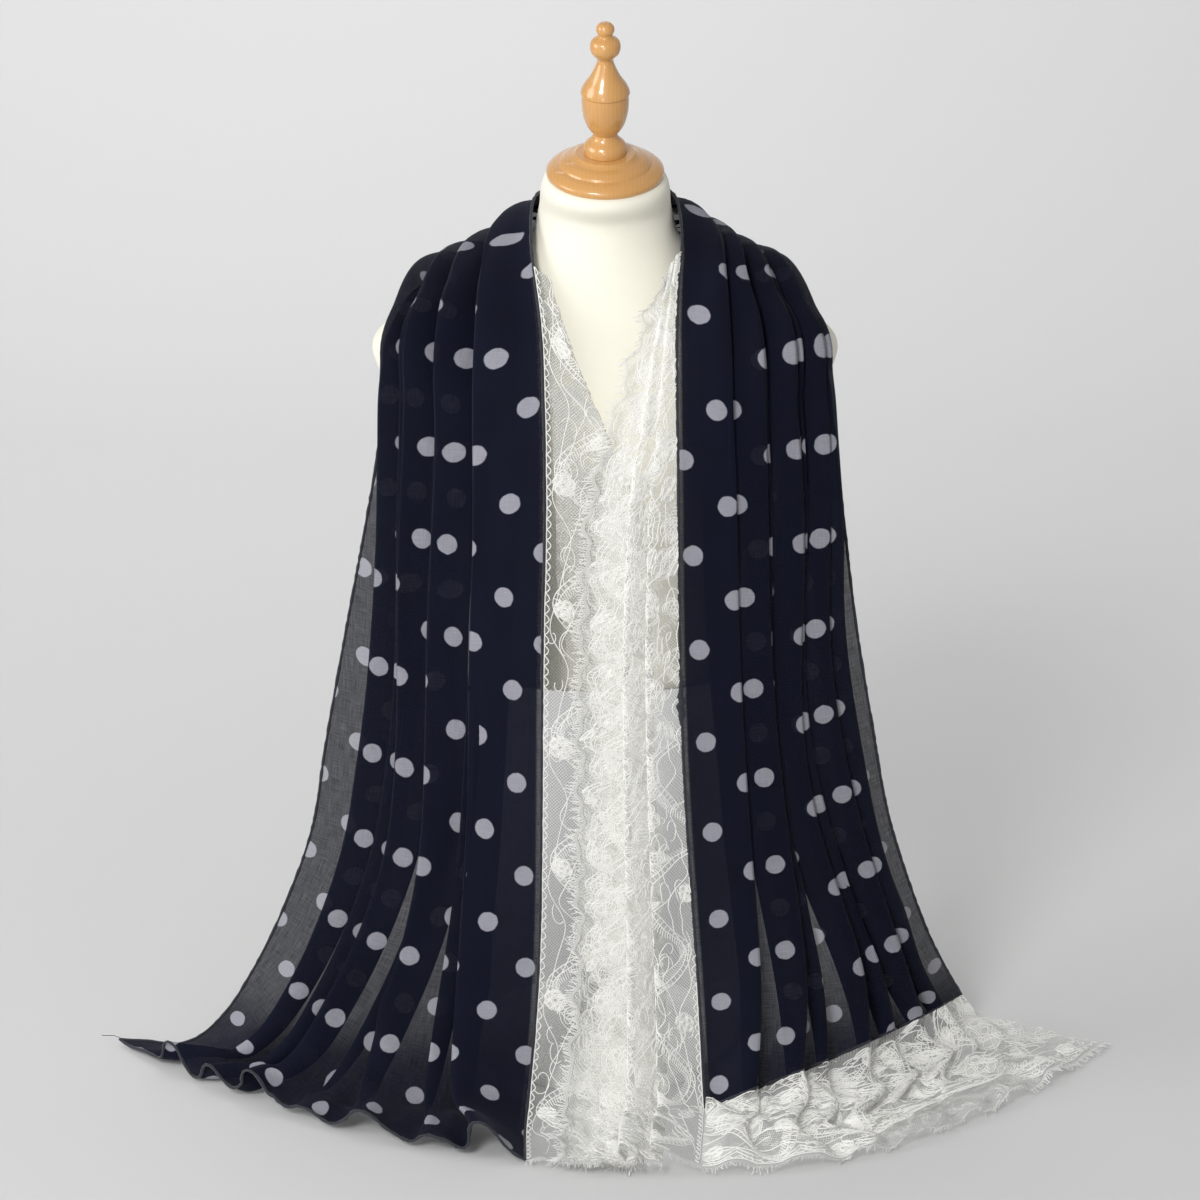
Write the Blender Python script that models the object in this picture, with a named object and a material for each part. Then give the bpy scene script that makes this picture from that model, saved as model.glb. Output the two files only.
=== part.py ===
"""A chiffon scarf with lace edging, hung round the neck of a limbless dress form.

X runs to the viewer's right, Y away from the viewer and Z up, in metres. The origin is the middle of
the underside of the stand's base, on the floor.

The scarf is one rectangle of chiffon. Its inner long edge runs from the nape down each front, its outer
long edge runs from the middle of the back over each shoulder and down. Each crosswise section of the cloth
is a row of rounded folds between those two edges, worked out so that the folded cloth keeps its width.
"""

import math
from collections import namedtuple

import bmesh
import bpy
import numpy as np

# ---- driving dimensions ----
SEAM_GAP = 0.0003
# A join that runs along a folded row needs more room, because the walls turn sharply there.
JOIN_GAP = 0.0010

FORM_SIDES = 22
CAP_SIDES = 26
FINIAL_SIDES = 14

POLE_RADIUS = 0.014
POLE_SIDES = 16
BASE_RADIUS = 0.120
BASE_SIDES = 32
SOCKET_SIDES = 20

CHIFFON_WIDTH = 0.62
CHIFFON_WALL = 0.0010
LACE_WIDTH = 0.165
LACE_WALL = 0.0010
LACE_HOLE = 0.0050
LASH_LENGTH = 0.008
LASH_WIDTH = 0.0012
LASH_GAP = 0.0008
BACKING_WIDTH = 0.0030

FLOOR_REST = 0.0011

# ---- the dress form: one ring for each height ----
Ring = namedtuple("Ring", "height half_width front back squareness tilt")
TORSO = (
    Ring(0.360, 0.118, -0.080, 0.076, 2.2, 0.0),
    Ring(0.364, 0.122, -0.084, 0.080, 2.2, 0.0),
    Ring(0.400, 0.117, -0.080, 0.074, 2.2, 0.0),
    Ring(0.440, 0.116, -0.082, 0.072, 2.2, 0.0),
    Ring(0.480, 0.124, -0.092, 0.074, 2.2, 0.0),
    Ring(0.520, 0.136, -0.106, 0.078, 2.2, 0.0),
    Ring(0.555, 0.147, -0.115, 0.083, 2.2, 0.0),
    Ring(0.590, 0.162, -0.113, 0.088, 2.3, 0.0),
    Ring(0.618, 0.184, -0.105, 0.090, 2.4, 0.0),
    Ring(0.640, 0.198, -0.096, 0.088, 2.4, 0.0),
    Ring(0.657, 0.199, -0.088, 0.084, 2.4, 0.0),
    Ring(0.672, 0.184, -0.081, 0.079, 2.3, 0.0),
    Ring(0.684, 0.160, -0.076, 0.074, 2.2, 0.0),
    Ring(0.697, 0.130, -0.071, 0.070, 2.1, 0.0),
    Ring(0.712, 0.102, -0.066, 0.065, 2.0, 0.0),
    Ring(0.729, 0.078, -0.060, 0.060, 2.0, 0.0),
    Ring(0.748, 0.063, -0.055, 0.056, 2.0, 2.0),
    Ring(0.772, 0.0565, -0.055, 0.051, 2.0, 7.0),
    Ring(0.799, 0.0525, -0.070, 0.033, 2.0, 14.0),
    Ring(0.803, 0.0495, -0.067, 0.030, 2.0, 14.0),
)

# ---- turned pieces: radius and height above the piece's foot, from the top down ----
Turn = namedtuple("Turn", "radius height")
CAP = (
    Turn(0.0182, 0.0204),
    Turn(0.0258, 0.0196),
    Turn(0.0290, 0.0172),
    Turn(0.0380, 0.0128),
    Turn(0.0396, 0.0108),
    Turn(0.0470, 0.0078),
    Turn(0.0498, 0.0040),
    Turn(0.0490, 0.0),
)
FINIAL = (
    Turn(0.0046, 0.1180),
    Turn(0.0073, 0.1140),
    Turn(0.0073, 0.1062),
    Turn(0.0115, 0.1020),
    Turn(0.0128, 0.0964),
    Turn(0.0112, 0.0895),
    Turn(0.0070, 0.0856),
    Turn(0.0088, 0.0780),
    Turn(0.0130, 0.0695),
    Turn(0.0186, 0.0615),
    Turn(0.0206, 0.0550),
    Turn(0.0200, 0.0478),
    Turn(0.0192, 0.0373),
    Turn(0.0160, 0.0260),
    Turn(0.0102, 0.0175),
    Turn(0.0112, 0.0145),
    Turn(0.0165, 0.0090),
    Turn(0.0179, 0.0),
)
SOCKET = (
    Turn(0.0180, 0.0460),
    Turn(0.0190, 0.0445),
    Turn(0.0200, 0.0200),
    Turn(0.0225, 0.0035),
    Turn(0.0225, 0.0),
)
BASE = (
    Turn(0.0230, 0.0240),
    Turn(0.0400, 0.0215),
    Turn(0.0750, 0.0185),
    Turn(0.1120, 0.0125),
    Turn(BASE_RADIUS, 0.0080),
    Turn(BASE_RADIUS, 0.0),
)

# ---- the scarf's two long edges, from the middle of the back down to each end ----
Point = namedtuple("Point", "x y z")
INNER_LEFT = (
    Point(0.000, 0.062, 0.770),
    Point(-0.039, 0.051, 0.775),
    Point(-0.060, 0.008, 0.778),
    Point(-0.063, -0.030, 0.752),
    Point(-0.059, -0.066, 0.722),
    Point(-0.054, -0.096, 0.686),
    Point(-0.052, -0.117, 0.640),
    Point(-0.051, -0.128, 0.590),
    Point(-0.051, -0.134, 0.520),
    Point(-0.053, -0.138, 0.440),
    Point(-0.054, -0.141, 0.350),
    Point(-0.055, -0.144, 0.250),
    Point(-0.057, -0.147, 0.150),
    Point(-0.061, -0.152, 0.080),
    Point(-0.066, -0.168, 0.026),
    Point(-0.069, -0.205, 0.0048),
    Point(-0.068, -0.267, 0.0048),
)
OUTER_LEFT = (
    Point(0.000, 0.100, 0.655),
    Point(-0.075, 0.094, 0.668),
    Point(-0.135, 0.064, 0.690),
    Point(-0.164, 0.012, 0.694),
    Point(-0.184, -0.034, 0.668),
    Point(-0.190, -0.058, 0.630),
    Point(-0.193, -0.068, 0.580),
    Point(-0.205, -0.071, 0.510),
    Point(-0.223, -0.072, 0.418),
    Point(-0.244, -0.070, 0.306),
    Point(-0.257, -0.066, 0.230),
    Point(-0.283, -0.060, 0.155),
    Point(-0.314, -0.052, 0.088),
    Point(-0.345, -0.044, 0.038),
    Point(-0.378, -0.036, 0.009),
    Point(-0.410, -0.027, FLOOR_REST),
    Point(-0.440, -0.020, FLOOR_REST),
)
INNER_RIGHT = (
    Point(0.000, 0.062, 0.770),
    Point(0.037, 0.050, 0.776),
    Point(0.059, 0.006, 0.780),
    Point(0.065, -0.032, 0.754),
    Point(0.062, -0.066, 0.722),
    Point(0.060, -0.096, 0.686),
    Point(0.060, -0.118, 0.636),
    Point(0.061, -0.130, 0.580),
    Point(0.062, -0.136, 0.510),
    Point(0.063, -0.140, 0.430),
    Point(0.066, -0.144, 0.340),
    Point(0.071, -0.148, 0.250),
    Point(0.077, -0.152, 0.170),
    Point(0.082, -0.156, 0.100),
    Point(0.085, -0.163, 0.045),
    Point(0.087, -0.176, 0.0105),
)
OUTER_RIGHT = (
    Point(0.000, 0.100, 0.655),
    Point(0.075, 0.094, 0.668),
    Point(0.133, 0.062, 0.692),
    Point(0.160, 0.010, 0.699),
    Point(0.181, -0.034, 0.668),
    Point(0.190, -0.056, 0.632),
    Point(0.195, -0.064, 0.590),
    Point(0.205, -0.066, 0.510),
    Point(0.217, -0.064, 0.418),
    Point(0.233, -0.057, 0.325),
    Point(0.250, -0.045, 0.235),
    Point(0.270, -0.029, 0.167),
    Point(0.294, -0.010, 0.100),
    Point(0.312, 0.008, 0.060),
    Point(0.326, 0.022, 0.032),
)

# How the cloth hangs at each share of the way from the back to the end:
# the way its folds face, how far it stands off the form, how far the folds lie over, how far the middle
# bows forward, and the shares of the span that the first fold and the plain outer stretch take.
Hang = namedtuple("Hang", "share face_x face_y face_z clearance lean bow first plain")
HANG_LEFT = (
    Hang(0.000, 0.00, 1.00, 0.30, 0.0040, 1.2, 0.000, 0.16, 0.10),
    Hang(0.075, -0.35, 0.90, 0.40, 0.0042, 1.4, 0.000, 0.16, 0.12),
    Hang(0.140, -0.40, 0.35, 0.87, 0.0010, 1.5, 0.000, 0.16, 0.15),
    Hang(0.185, -0.35, -0.30, 0.87, 0.0012, 1.6, 0.000, 0.16, 0.16),
    Hang(0.240, -0.30, -0.78, 0.55, 0.0040, 1.7, 0.000, 0.16, 0.18),
    Hang(0.320, -0.25, -0.95, 0.20, 0.0060, 2.88, 0.000, 0.17, 0.20),
    Hang(0.480, -0.20, -1.00, 0.05, 0.0050, 3.74, 0.002, 0.18, 0.26),
    Hang(0.640, -0.15, -1.00, 0.00, 0.0050, 3.96, 0.006, 0.18, 0.28),
    Hang(0.800, -0.10, -1.00, 0.10, 0.0050, 3.08, 0.014, 0.17, 0.27),
    Hang(0.880, -0.10, -0.95, 0.30, 0.0050, 1.76, 0.024, 0.16, 0.22),
    Hang(0.930, -0.05, -0.70, 0.70, 0.0050, 0.9, 0.034, 0.15, 0.17),
    Hang(0.965, 0.00, -0.25, 1.00, 0.0050, 0.7, 0.042, 0.14, 0.13),
    Hang(1.000, 0.00, 0.00, 1.00, 0.0050, 0.5, 0.046, 0.14, 0.11),
)
HANG_RIGHT = (
    Hang(0.000, 0.00, 1.00, 0.30, 0.0040, 1.2, 0.000, 0.16, 0.10),
    Hang(0.080, 0.35, 0.90, 0.40, 0.0042, 1.3, 0.000, 0.17, 0.12),
    Hang(0.150, 0.40, 0.35, 0.87, 0.0010, 1.2, 0.000, 0.18, 0.14),
    Hang(0.200, 0.35, -0.30, 0.87, 0.0014, 1.2, 0.000, 0.18, 0.15),
    Hang(0.260, 0.30, -0.78, 0.55, 0.0046, 1.6, 0.000, 0.16, 0.16),
    Hang(0.350, 0.25, -0.95, 0.20, 0.0065, 2.60, 0.000, 0.16, 0.17),
    Hang(0.520, 0.20, -1.00, 0.05, 0.0050, 3.74, 0.002, 0.17, 0.20),
    Hang(0.700, 0.20, -1.00, 0.00, 0.0050, 3.74, 0.004, 0.17, 0.22),
    Hang(0.850, 0.25, -0.95, 0.15, 0.0050, 2.24, 0.008, 0.16, 0.22),
    Hang(0.940, 0.30, -0.90, 0.35, 0.0050, 1.1, 0.012, 0.15, 0.18),
    Hang(1.000, 0.30, -0.80, 0.55, 0.0050, 0.6, 0.014, 0.14, 0.14),
)

# ---- folds, from the inner edge out: each one's share of the cloth ----
FOLDS_LEFT = (0.165, 0.098, 0.160, 0.092, 0.148, 0.107, 0.125)
FOLDS_RIGHT = (0.135, 0.155, 0.105, 0.142, 0.110, 0.133, 0.115)

LEVELS_LEFT = (0.168, 0.195, 0.225, 0.260, 0.300, 0.350, 0.420, 0.500, 0.590, 0.680,
               0.760, 0.820, 0.865, 0.900, 0.925, 0.945, 0.962, 0.980, 1.000)
LEVELS_RIGHT = (0.168, 0.198, 0.228, 0.258, 0.292, 0.335, 0.400, 0.490, 0.590, 0.690,
                0.780, 0.850, 0.910, 0.958, 1.000)
LEVELS_BACK = (0.000, 0.040, 0.075, 0.105, 0.130, 0.152)

# ---- lace ----
# The left edging's fold and the right edging's eyelash edge, from the shoulder down to the floor.
LACE_FOLD_LEFT = (
    Point(-0.048, -0.071, 0.727),
    Point(-0.036, -0.094, 0.690),
    Point(-0.020, -0.111, 0.650),
    Point(-0.003, -0.121, 0.610),
    Point(0.018, -0.126, 0.560),
    Point(0.032, -0.130, 0.500),
    Point(0.038, -0.134, 0.420),
    Point(0.040, -0.137, 0.330),
    Point(0.041, -0.140, 0.220),
    Point(0.041, -0.142, 0.120),
    Point(0.041, -0.145, 0.060),
    Point(0.040, -0.153, 0.022),
    Point(0.037, -0.178, 0.0060),
    Point(0.033, -0.222, 0.0050),
    Point(0.030, -0.280, 0.0050),
)
LACE_EDGE_RIGHT = (
    Point(0.049, -0.070, 0.728),
    Point(0.034, -0.098, 0.690),
    Point(0.018, -0.118, 0.644),
    Point(0.005, -0.131, 0.600),
    Point(-0.009, -0.139, 0.550),
    Point(-0.0145, -0.145, 0.485),
    Point(-0.0176, -0.149, 0.400),
    Point(-0.019, -0.152, 0.300),
    Point(-0.020, -0.155, 0.200),
    Point(-0.022, -0.160, 0.110),
    Point(-0.026, -0.173, 0.052),
    Point(-0.031, -0.203, 0.017),
    Point(-0.034, -0.240, 0.0105),
    Point(-0.034, -0.286, 0.0100),
)
SEAM_FLOOR_RIGHT = (
    Point(0.087, -0.184, 0.0085),
    Point(0.085, -0.225, 0.0085),
    Point(0.081, -0.283, 0.0085),
)
Facing = namedtuple("Facing", "share face_x face_y face_z")
EDGING_FACING = (
    Facing(0.16, 0.00, -0.60, 0.60),
    Facing(0.24, 0.00, -0.85, 0.50),
    Facing(0.32, 0.00, -0.96, 0.25),
    Facing(0.50, 0.00, -1.00, 0.05),
    Facing(0.80, 0.00, -1.00, 0.05),
    Facing(0.88, 0.00, -0.95, 0.25),
    Facing(0.92, 0.00, -0.60, 0.70),
    Facing(0.95, 0.00, -0.15, 1.00),
    Facing(1.00, 0.00, 0.00, 1.00),
)
EDGING_GAP = 0.0005

# The left edging: shares across its front and its turned-back layer, how far apart those lie, how wide the
# turned-back layer may be beside the front one, and the front one's soft wave, which fades where it is narrow.
EDGING_FRONT = (0.0, 0.25, 0.50, 0.75, 0.98)
EDGING_UNDER = (0.04, 0.35, 0.70, 1.00)
EDGING_TURN = 0.0036
EDGING_BULGE = 0.0015
MOST_UNDER = 0.88
LEFT_CLEARANCE = 0.0012
EDGING_WAVE = 0.0022
WAVE_TURNS = 1.25
WAVE_FULL_WIDTH = 0.09

# The right edging: samples in a fold, the folds' shares of its span, the span at which its whole width
# shows, and how far its folds lie over. Its last part runs on over the floor, past the chiffon's end.
EDGING_SAMPLES = (0.12, 0.38, 0.62, 0.88)
EDGING_SPANS = (0.30, 0.26, 0.44)
EDGING_FULL_SPAN = 0.080
EDGING_LEAN = 1.4
RIGHT_CLEARANCE = 0.0025
HEM_SHARE = 0.87
FLOOR_SHARE = 0.895

# The nape's edging: where it turns over the hem, and how far under the chiffon it reaches.
NAPE_LIP = 0.0022
NAPE_LIP_IN = 0.0012
NAPE_TURN = 0.0024
NAPE_DEPTHS = (0.001, 0.007, 0.014)
# Rows of the back, from each end, that it leaves out.
NAPE_INSET = 4

LADDER_LENGTH = 0.0112
LADDER_BAR = 0.0012
LADDER_INSET = 0.001
LASH_WALL = 0.0008

# The end ruffle lies between these two edges, from the right hem out over the floor.
RUFFLE_INNER = (
    Point(0.087, -0.176, 0.0105),
    Point(0.087, -0.200, 0.004),
    Point(0.084, -0.235, 0.0022),
    Point(0.082, -0.281, 0.0022),
)
RUFFLE_OUTER = (
    Point(0.326, 0.022, 0.032),
    Point(0.346, 0.014, 0.012),
    Point(0.390, -0.001, 0.003),
    Point(0.450, -0.020, 0.0022),
)
HANG_RUFFLE = (
    Hang(0.000, 0.30, -0.80, 0.55, 0.0050, 0.6, 0.014, 0.14, 0.14),
    Hang(0.250, 0.28, -0.76, 0.60, 0.0050, 0.6, 0.034, 0.14, 0.13),
    Hang(0.500, 0.10, -0.40, 0.92, 0.0050, 0.5, 0.052, 0.14, 0.12),
    Hang(1.000, 0.00, 0.00, 1.00, 0.0050, 0.2, 0.074, 0.14, 0.11),
)
RUFFLE_ROWS = (0.0, 0.18, 0.38, 0.60, 0.80, 1.0)
RUFFLE_FLAT = 0.60
RUFFLE_REST = 0.0009
# The share of the ruffle over which it leaves the hem's own shape.
RUFFLE_SETTLED = 0.45

FLOOR_LEVELS_RIGHT = (0.0, 0.5, 1.0)

# Cells of each lace grid, as row and column, with a ladder of holes: every other one of a few columns.
EDGING_LEFT_LADDERS = tuple((row, column) for row in range(5, 17) for column in (0, 1) if (row + column) % 2)
EDGING_RIGHT_LADDERS = tuple((row, column) for row in range(3, 15) for column in (9, 10)
                             if (row + column) % 2)
RUFFLE_LADDERS = tuple((row, column) for row in (1, 2, 3) for column in range(1, 43, 6))

FOLD_SAMPLES = (0.06, 0.25, 0.44, 0.56, 0.75, 0.94)
# The folds lie over less towards the outer edge, by this share.
LEAN_FADE = 0.6
PATH_STEPS = 14
SWING_STEPS = 32
MOST_SWING = 2.15
SWING_ROUNDS = 22
# A fold's span is at most this share of its cloth.
FULLEST_SPAN = 0.995
PLAIN_SAMPLES = (0.08, 0.55, 1.0)
GROUND_COLUMNS = 21


# ---- curves ----
def smooth_path(points, per_span=PATH_STEPS):
    """A close polyline on a smooth curve through the points."""
    points = np.array(points, float)
    spans = np.linalg.norm(np.diff(points, axis=0), axis=1)
    knots = np.concatenate([[0.0], np.cumsum(spans)])
    at = np.interp(np.arange(len(spans) * per_span + 1) / per_span, np.arange(len(knots)), knots)
    return smooth_values(knots, points, at)


def scarf_path(points):
    """A long edge's curve. It crosses the middle of the back level, because the far half mirrors this one."""
    second = Point(-points[1].x, points[1].y, points[1].z)
    path = smooth_path((second, *points))
    return path[PATH_STEPS:]


def smooth_values(knots, values, at):
    """Cubic values between the knots, with no corner at a knot and no overshoot in slope."""
    knots = np.array(knots, float)
    values = np.array(values, float).reshape(len(knots), -1)
    at = np.clip(np.array(at, float), knots[0], knots[-1])
    rise = np.diff(values, axis=0) / np.diff(knots)[:, None]
    slope = np.vstack([rise[:1], (rise[1:] + rise[:-1]) / 2, rise[-1:]])
    span = np.clip(np.searchsorted(knots, at, side="right") - 1, 0, len(knots) - 2)
    width = np.diff(knots)[span]
    t = ((at - knots[span]) / width)[:, None]
    width = width[:, None]
    start, end = values[span], values[span + 1]
    return ((2 * t**3 - 3 * t**2 + 1) * start + (t**3 - 2 * t**2 + t) * width * slope[span]
            + (3 * t**2 - 2 * t**3) * end + (t**3 - t**2) * width * slope[span + 1])


def along(path, shares):
    """Points at shares of the path's length."""
    run = np.concatenate([[0.0], np.cumsum(np.linalg.norm(np.diff(path, axis=0), axis=1))])
    return np.stack([np.interp(np.array(shares) * run[-1], run, path[:, k]) for k in range(3)], axis=-1)


def unit(vectors):
    return vectors / np.linalg.norm(vectors, axis=-1, keepdims=True)


# ---- the form's surface ----
# Points nearer the form's middle than this share of its radius count as this share.
LEAST_REACH = 0.05
# Points above the form, or further below it than this, count as being this far off.
BELOW_FORM = 0.02
FAR_OFF = 1.0
STAND_OFF_ROUNDS = 14
MOST_IN_ONE_ROUND = 0.02


def form_gap(points):
    """How far each point lies outside the form, measured level from the form's middle."""
    heights = [ring.height for ring in TORSO]
    z = points[..., 2]
    half, front, back, power = (
        np.interp(z, heights, [getattr(ring, column) for ring in TORSO])
        for column in ("half_width", "front", "back", "squareness"))
    middle, depth = (front + back) / 2, (back - front) / 2
    x, y = np.abs(points[..., 0]), np.abs(points[..., 1] - middle)
    reach = ((x / half) ** power + (y / depth) ** power) ** (1 / power)
    gap = np.hypot(x, y) * (1 - 1 / np.maximum(reach, LEAST_REACH))
    return np.where((z > heights[-1]) | (z < heights[0] - BELOW_FORM), FAR_OFF, gap)


def stand_off(points, facing, clearance):
    """Moves the points out along the facing until each clears the form, then evens out the moves."""
    moved = np.zeros(points.shape[:-1])
    for _ in range(STAND_OFF_ROUNDS):
        short = clearance - form_gap(points + moved[..., None] * facing)
        moved = moved + np.clip(short, 0.0, MOST_IN_ONE_ROUND)
    even = moved.copy()
    for _ in range(2):
        even[..., 1:-1] = (even[..., :-2] + 2 * even[..., 1:-1] + even[..., 2:]) / 4
    return points + np.maximum(moved, even)[..., None] * facing


# ---- folded cloth ----
def swing_of(ratio, lean):
    """The swing of a fold's direction that takes up its cloth: its span is this ratio of its length."""
    t = (np.arange(SWING_STEPS) + 0.5) / SWING_STEPS
    low, high = np.zeros_like(ratio), np.full_like(ratio, MOST_SWING)
    for _ in range(SWING_ROUNDS):
        swing = (low + high) / 2
        angle = swing[..., None] * np.sin(2 * math.pi * t)
        span = np.cos(angle).mean(axis=-1)
        length = np.hypot(np.cos(angle) + lean[..., None] * np.sin(angle), np.sin(angle)).mean(axis=-1)
        slack = span / length > ratio
        low, high = np.where(slack, swing, low), np.where(slack, high, swing)
    return (low + high) / 2


def fold_shape(swing, samples):
    """Where the samples of one fold lie for each swing: along the span, as a share, and out from it."""
    t = np.linspace(0.0, 1.0, SWING_STEPS + 1)
    middle = (t[1:] + t[:-1]) / 2
    angle = swing[:, None] * np.sin(2 * math.pi * middle)
    run = np.cumsum(np.cos(angle), axis=1)
    out = np.cumsum(np.sin(angle), axis=1) / run[:, -1:]
    run = run / run[:, -1:]
    start = np.zeros((len(swing), 1))
    run, out = np.hstack([start, run]), np.hstack([start, out])
    return (np.array([np.interp(samples, t, row) for row in run]),
            np.array([np.interp(samples, t, row) for row in out]))


def cross_sections(span, lean, widths, shares, samples):
    """Along and out positions of the folded cloth, a row for each section. A last width is a plain stretch."""
    starts = np.hstack([np.zeros((len(span), 1)), np.cumsum(shares, axis=1)]) * span[:, None]
    rows_along, rows_out = [np.zeros((len(span), 1))], [np.zeros((len(span), 1))]
    for fold, width in enumerate(widths[:-1]):
        room = starts[:, fold + 1] - starts[:, fold]
        middle_lean = lean * (1 - LEAN_FADE * (starts[:, fold] + room / 2) / span)
        run, out = fold_shape(swing_of(np.minimum(room / width, FULLEST_SPAN), middle_lean), samples)
        upright = starts[:, fold, None] + run * room[:, None]
        leaning = lean[:, None] * (1 - LEAN_FADE * upright / span[:, None])
        rows_out.append(out * room[:, None])
        rows_along.append(upright + leaning * rows_out[-1])
    rest = starts[:, -1] - starts[:, -2]
    for share in PLAIN_SAMPLES:
        rows_along.append((starts[:, -2] + share * rest)[:, None])
        rows_out.append(np.zeros((len(span), 1)))
    return np.hstack(rows_along), np.hstack(rows_out)


def hang_columns(hang, shares):
    """The hang table's columns at the shares."""
    values = smooth_values([row.share for row in hang], [row[1:] for row in hang], shares)
    facing, clearance, lean, bow, first, plain = np.split(values, [3, 4, 5, 6, 7], axis=1)
    return unit(facing), clearance[:, 0], lean[:, 0], bow[:, 0], first[:, 0], plain[:, 0]


def base_sheet(inner, outer, hang, shares, across):
    """The unfolded ground that the folds stand on, from the inner edge's curve (0) to the outer edge's (1)."""
    start, end = along(inner, shares), along(outer, shares)
    facing, clearance, lean, bow, first, plain = hang_columns(hang, shares)
    chord = end - start
    level = unit(chord)
    facing = unit(facing - (facing * level).sum(axis=1, keepdims=True) * level)
    ground = start[:, None] + across[None, :, None] * chord[:, None]
    ground[..., 1] -= (4 * across * (1 - across))[None] * bow[:, None]
    ground = stand_off(ground, facing[:, None], clearance[:, None])
    return ground, facing, level, np.linalg.norm(chord, axis=1), lean, first, plain


def panel_points(inner, outer, hang, folds, shares, samples=FOLD_SAMPLES, flat=0.0):
    """A grid of points on the folded cloth: a row for each share, from the inner edge out.

    Flat is how much lower the folds get towards the last row."""
    shares = np.array(shares)
    across = np.linspace(0.0, 1.0, GROUND_COLUMNS)
    ground, facing, level, span, lean, first, plain = base_sheet(inner, outer, hang, shares, across)
    widths = list(np.array(folds) * CHIFFON_WIDTH) + [(1 - sum(folds)) * CHIFFON_WIDTH]
    rest = (1 - first - plain)[:, None] * (np.array(folds[1:]) / sum(folds[1:]))[None]
    spans = np.hstack([first[:, None], rest, plain[:, None]])
    along_span, out = cross_sections(span, lean, widths, spans, samples)
    out = out * (1 - flat * shares[:, None])
    share_across = along_span / span[:, None]
    inside = np.clip(share_across, 0.0, 1.0)
    points = np.stack([
        np.stack([np.interp(row, across, ground[k, :, axis]) for axis in range(3)], axis=-1)
        for k, row in enumerate(inside)])
    beyond = (share_across - inside) * span[:, None]
    points = points + beyond[..., None] * level[:, None] + out[..., None] * facing[:, None]
    return on_floor(points)


def on_floor(points, rest=FLOOR_REST):
    points[..., 2] = np.maximum(points[..., 2], rest)
    return points


def next_row(row, before, gap):
    """The row that continues a cloth just past its last row, a seam's gap further on."""
    return row + unit(row - before) * gap


# ---- lace ----
def edging_left(seam, shares):
    """The left edging: a front layer from the seam to its fold, and a layer turned back under it."""
    fold = along(smooth_path(LACE_FOLD_LEFT), (shares - shares[0]) / (1 - shares[0]))
    reach = fold - seam
    facing = edging_facing(shares)
    wide = np.linalg.norm(reach, axis=1)
    under = np.minimum(LACE_WIDTH - wide, MOST_UNDER * wide) / wide
    layers = []
    for share in EDGING_FRONT:
        height = EDGING_WAVE * math.sin(2 * math.pi * WAVE_TURNS * share)
        wave = height * np.minimum(wide / WAVE_FULL_WIDTH, 1.0)
        layers.append(seam + share * reach + wave[:, None] * facing)
    layers.append(fold + EDGING_BULGE * unit(reach) - EDGING_TURN / 2 * facing)
    for share in EDGING_UNDER:
        layers.append(fold - (share * under)[:, None] * reach - EDGING_TURN * facing)
    points = np.stack(layers, axis=1)
    points[:, 0] += EDGING_GAP * unit(reach)
    points = stand_off(points, facing[:, None], LEFT_CLEARANCE)
    return on_floor(points)


def edging_facing(shares):
    columns = [[row.face_x, row.face_y, row.face_z] for row in EDGING_FACING]
    return unit(smooth_values([row.share for row in EDGING_FACING], columns, shares))


def edging_right(seam, shares):
    """The right edging: two soft folds, then a plain stretch to its eyelash edge."""
    edge = along(smooth_path(LACE_EDGE_RIGHT), (shares - shares[0]) / (1 - shares[0]))
    reach = edge - seam
    span = np.linalg.norm(reach, axis=1)
    level = unit(reach)
    facing = edging_facing(shares)
    facing = unit(facing - (facing * level).sum(axis=1, keepdims=True) * level)

    lean = np.full(len(span), EDGING_LEAN)
    rows_along, rows_out = [], []
    for k in range(len(span)):
        slack = 1 + (LACE_WIDTH / EDGING_FULL_SPAN - 1) * min(span[k] / EDGING_FULL_SPAN, 1.0) ** 2
        widths = list(np.array(EDGING_SPANS) * span[k] * slack)
        shape = cross_sections(span[k:k + 1], lean[k:k + 1], widths,
                               np.array([EDGING_SPANS]), EDGING_SAMPLES)
        rows_along.append(shape[0][0])
        rows_out.append(shape[1][0])
    run, out = np.array(rows_along), np.array(rows_out)
    run = EDGING_GAP + run * (1 - EDGING_GAP / span[:, None])
    points = seam[:, None] + run[..., None] * level[:, None] + out[..., None] * facing[:, None]
    points = stand_off(points, facing[:, None], RIGHT_CLEARANCE)
    return on_floor(points)


def edging_nape(back):
    """The nape's edging: turned down under the chiffon, against the neck."""
    seam = back[:, 0]
    down = unit(back[:, -1] - seam)
    facing = unit(seam * np.array([1.0, 1.0, 0.0]))
    layers = [seam - EDGING_GAP * down, seam - NAPE_LIP * down - NAPE_LIP_IN * facing]
    for depth in NAPE_DEPTHS:
        layers.append(seam + depth * down - NAPE_TURN * facing)
    return np.stack(layers, axis=1)


def ruffle_points(hem_row, before):
    """The end lace: it leaves the right hem in that hem's folds, which open out as it reaches the floor."""
    shares = np.array(RUFFLE_ROWS)
    points = panel_points(smooth_path(RUFFLE_INNER), smooth_path(RUFFLE_OUTER), HANG_RUFFLE, FOLDS_RIGHT,
                          shares, flat=RUFFLE_FLAT)
    start = next_row(hem_row, before, JOIN_GAP)
    settle = np.clip(1 - shares / RUFFLE_SETTLED, 0.0, 1.0)[:, None, None] ** 2
    points = points + settle * (start - points[0])[None]
    points[0] = start
    return on_floor(points, RUFFLE_REST)


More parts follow.
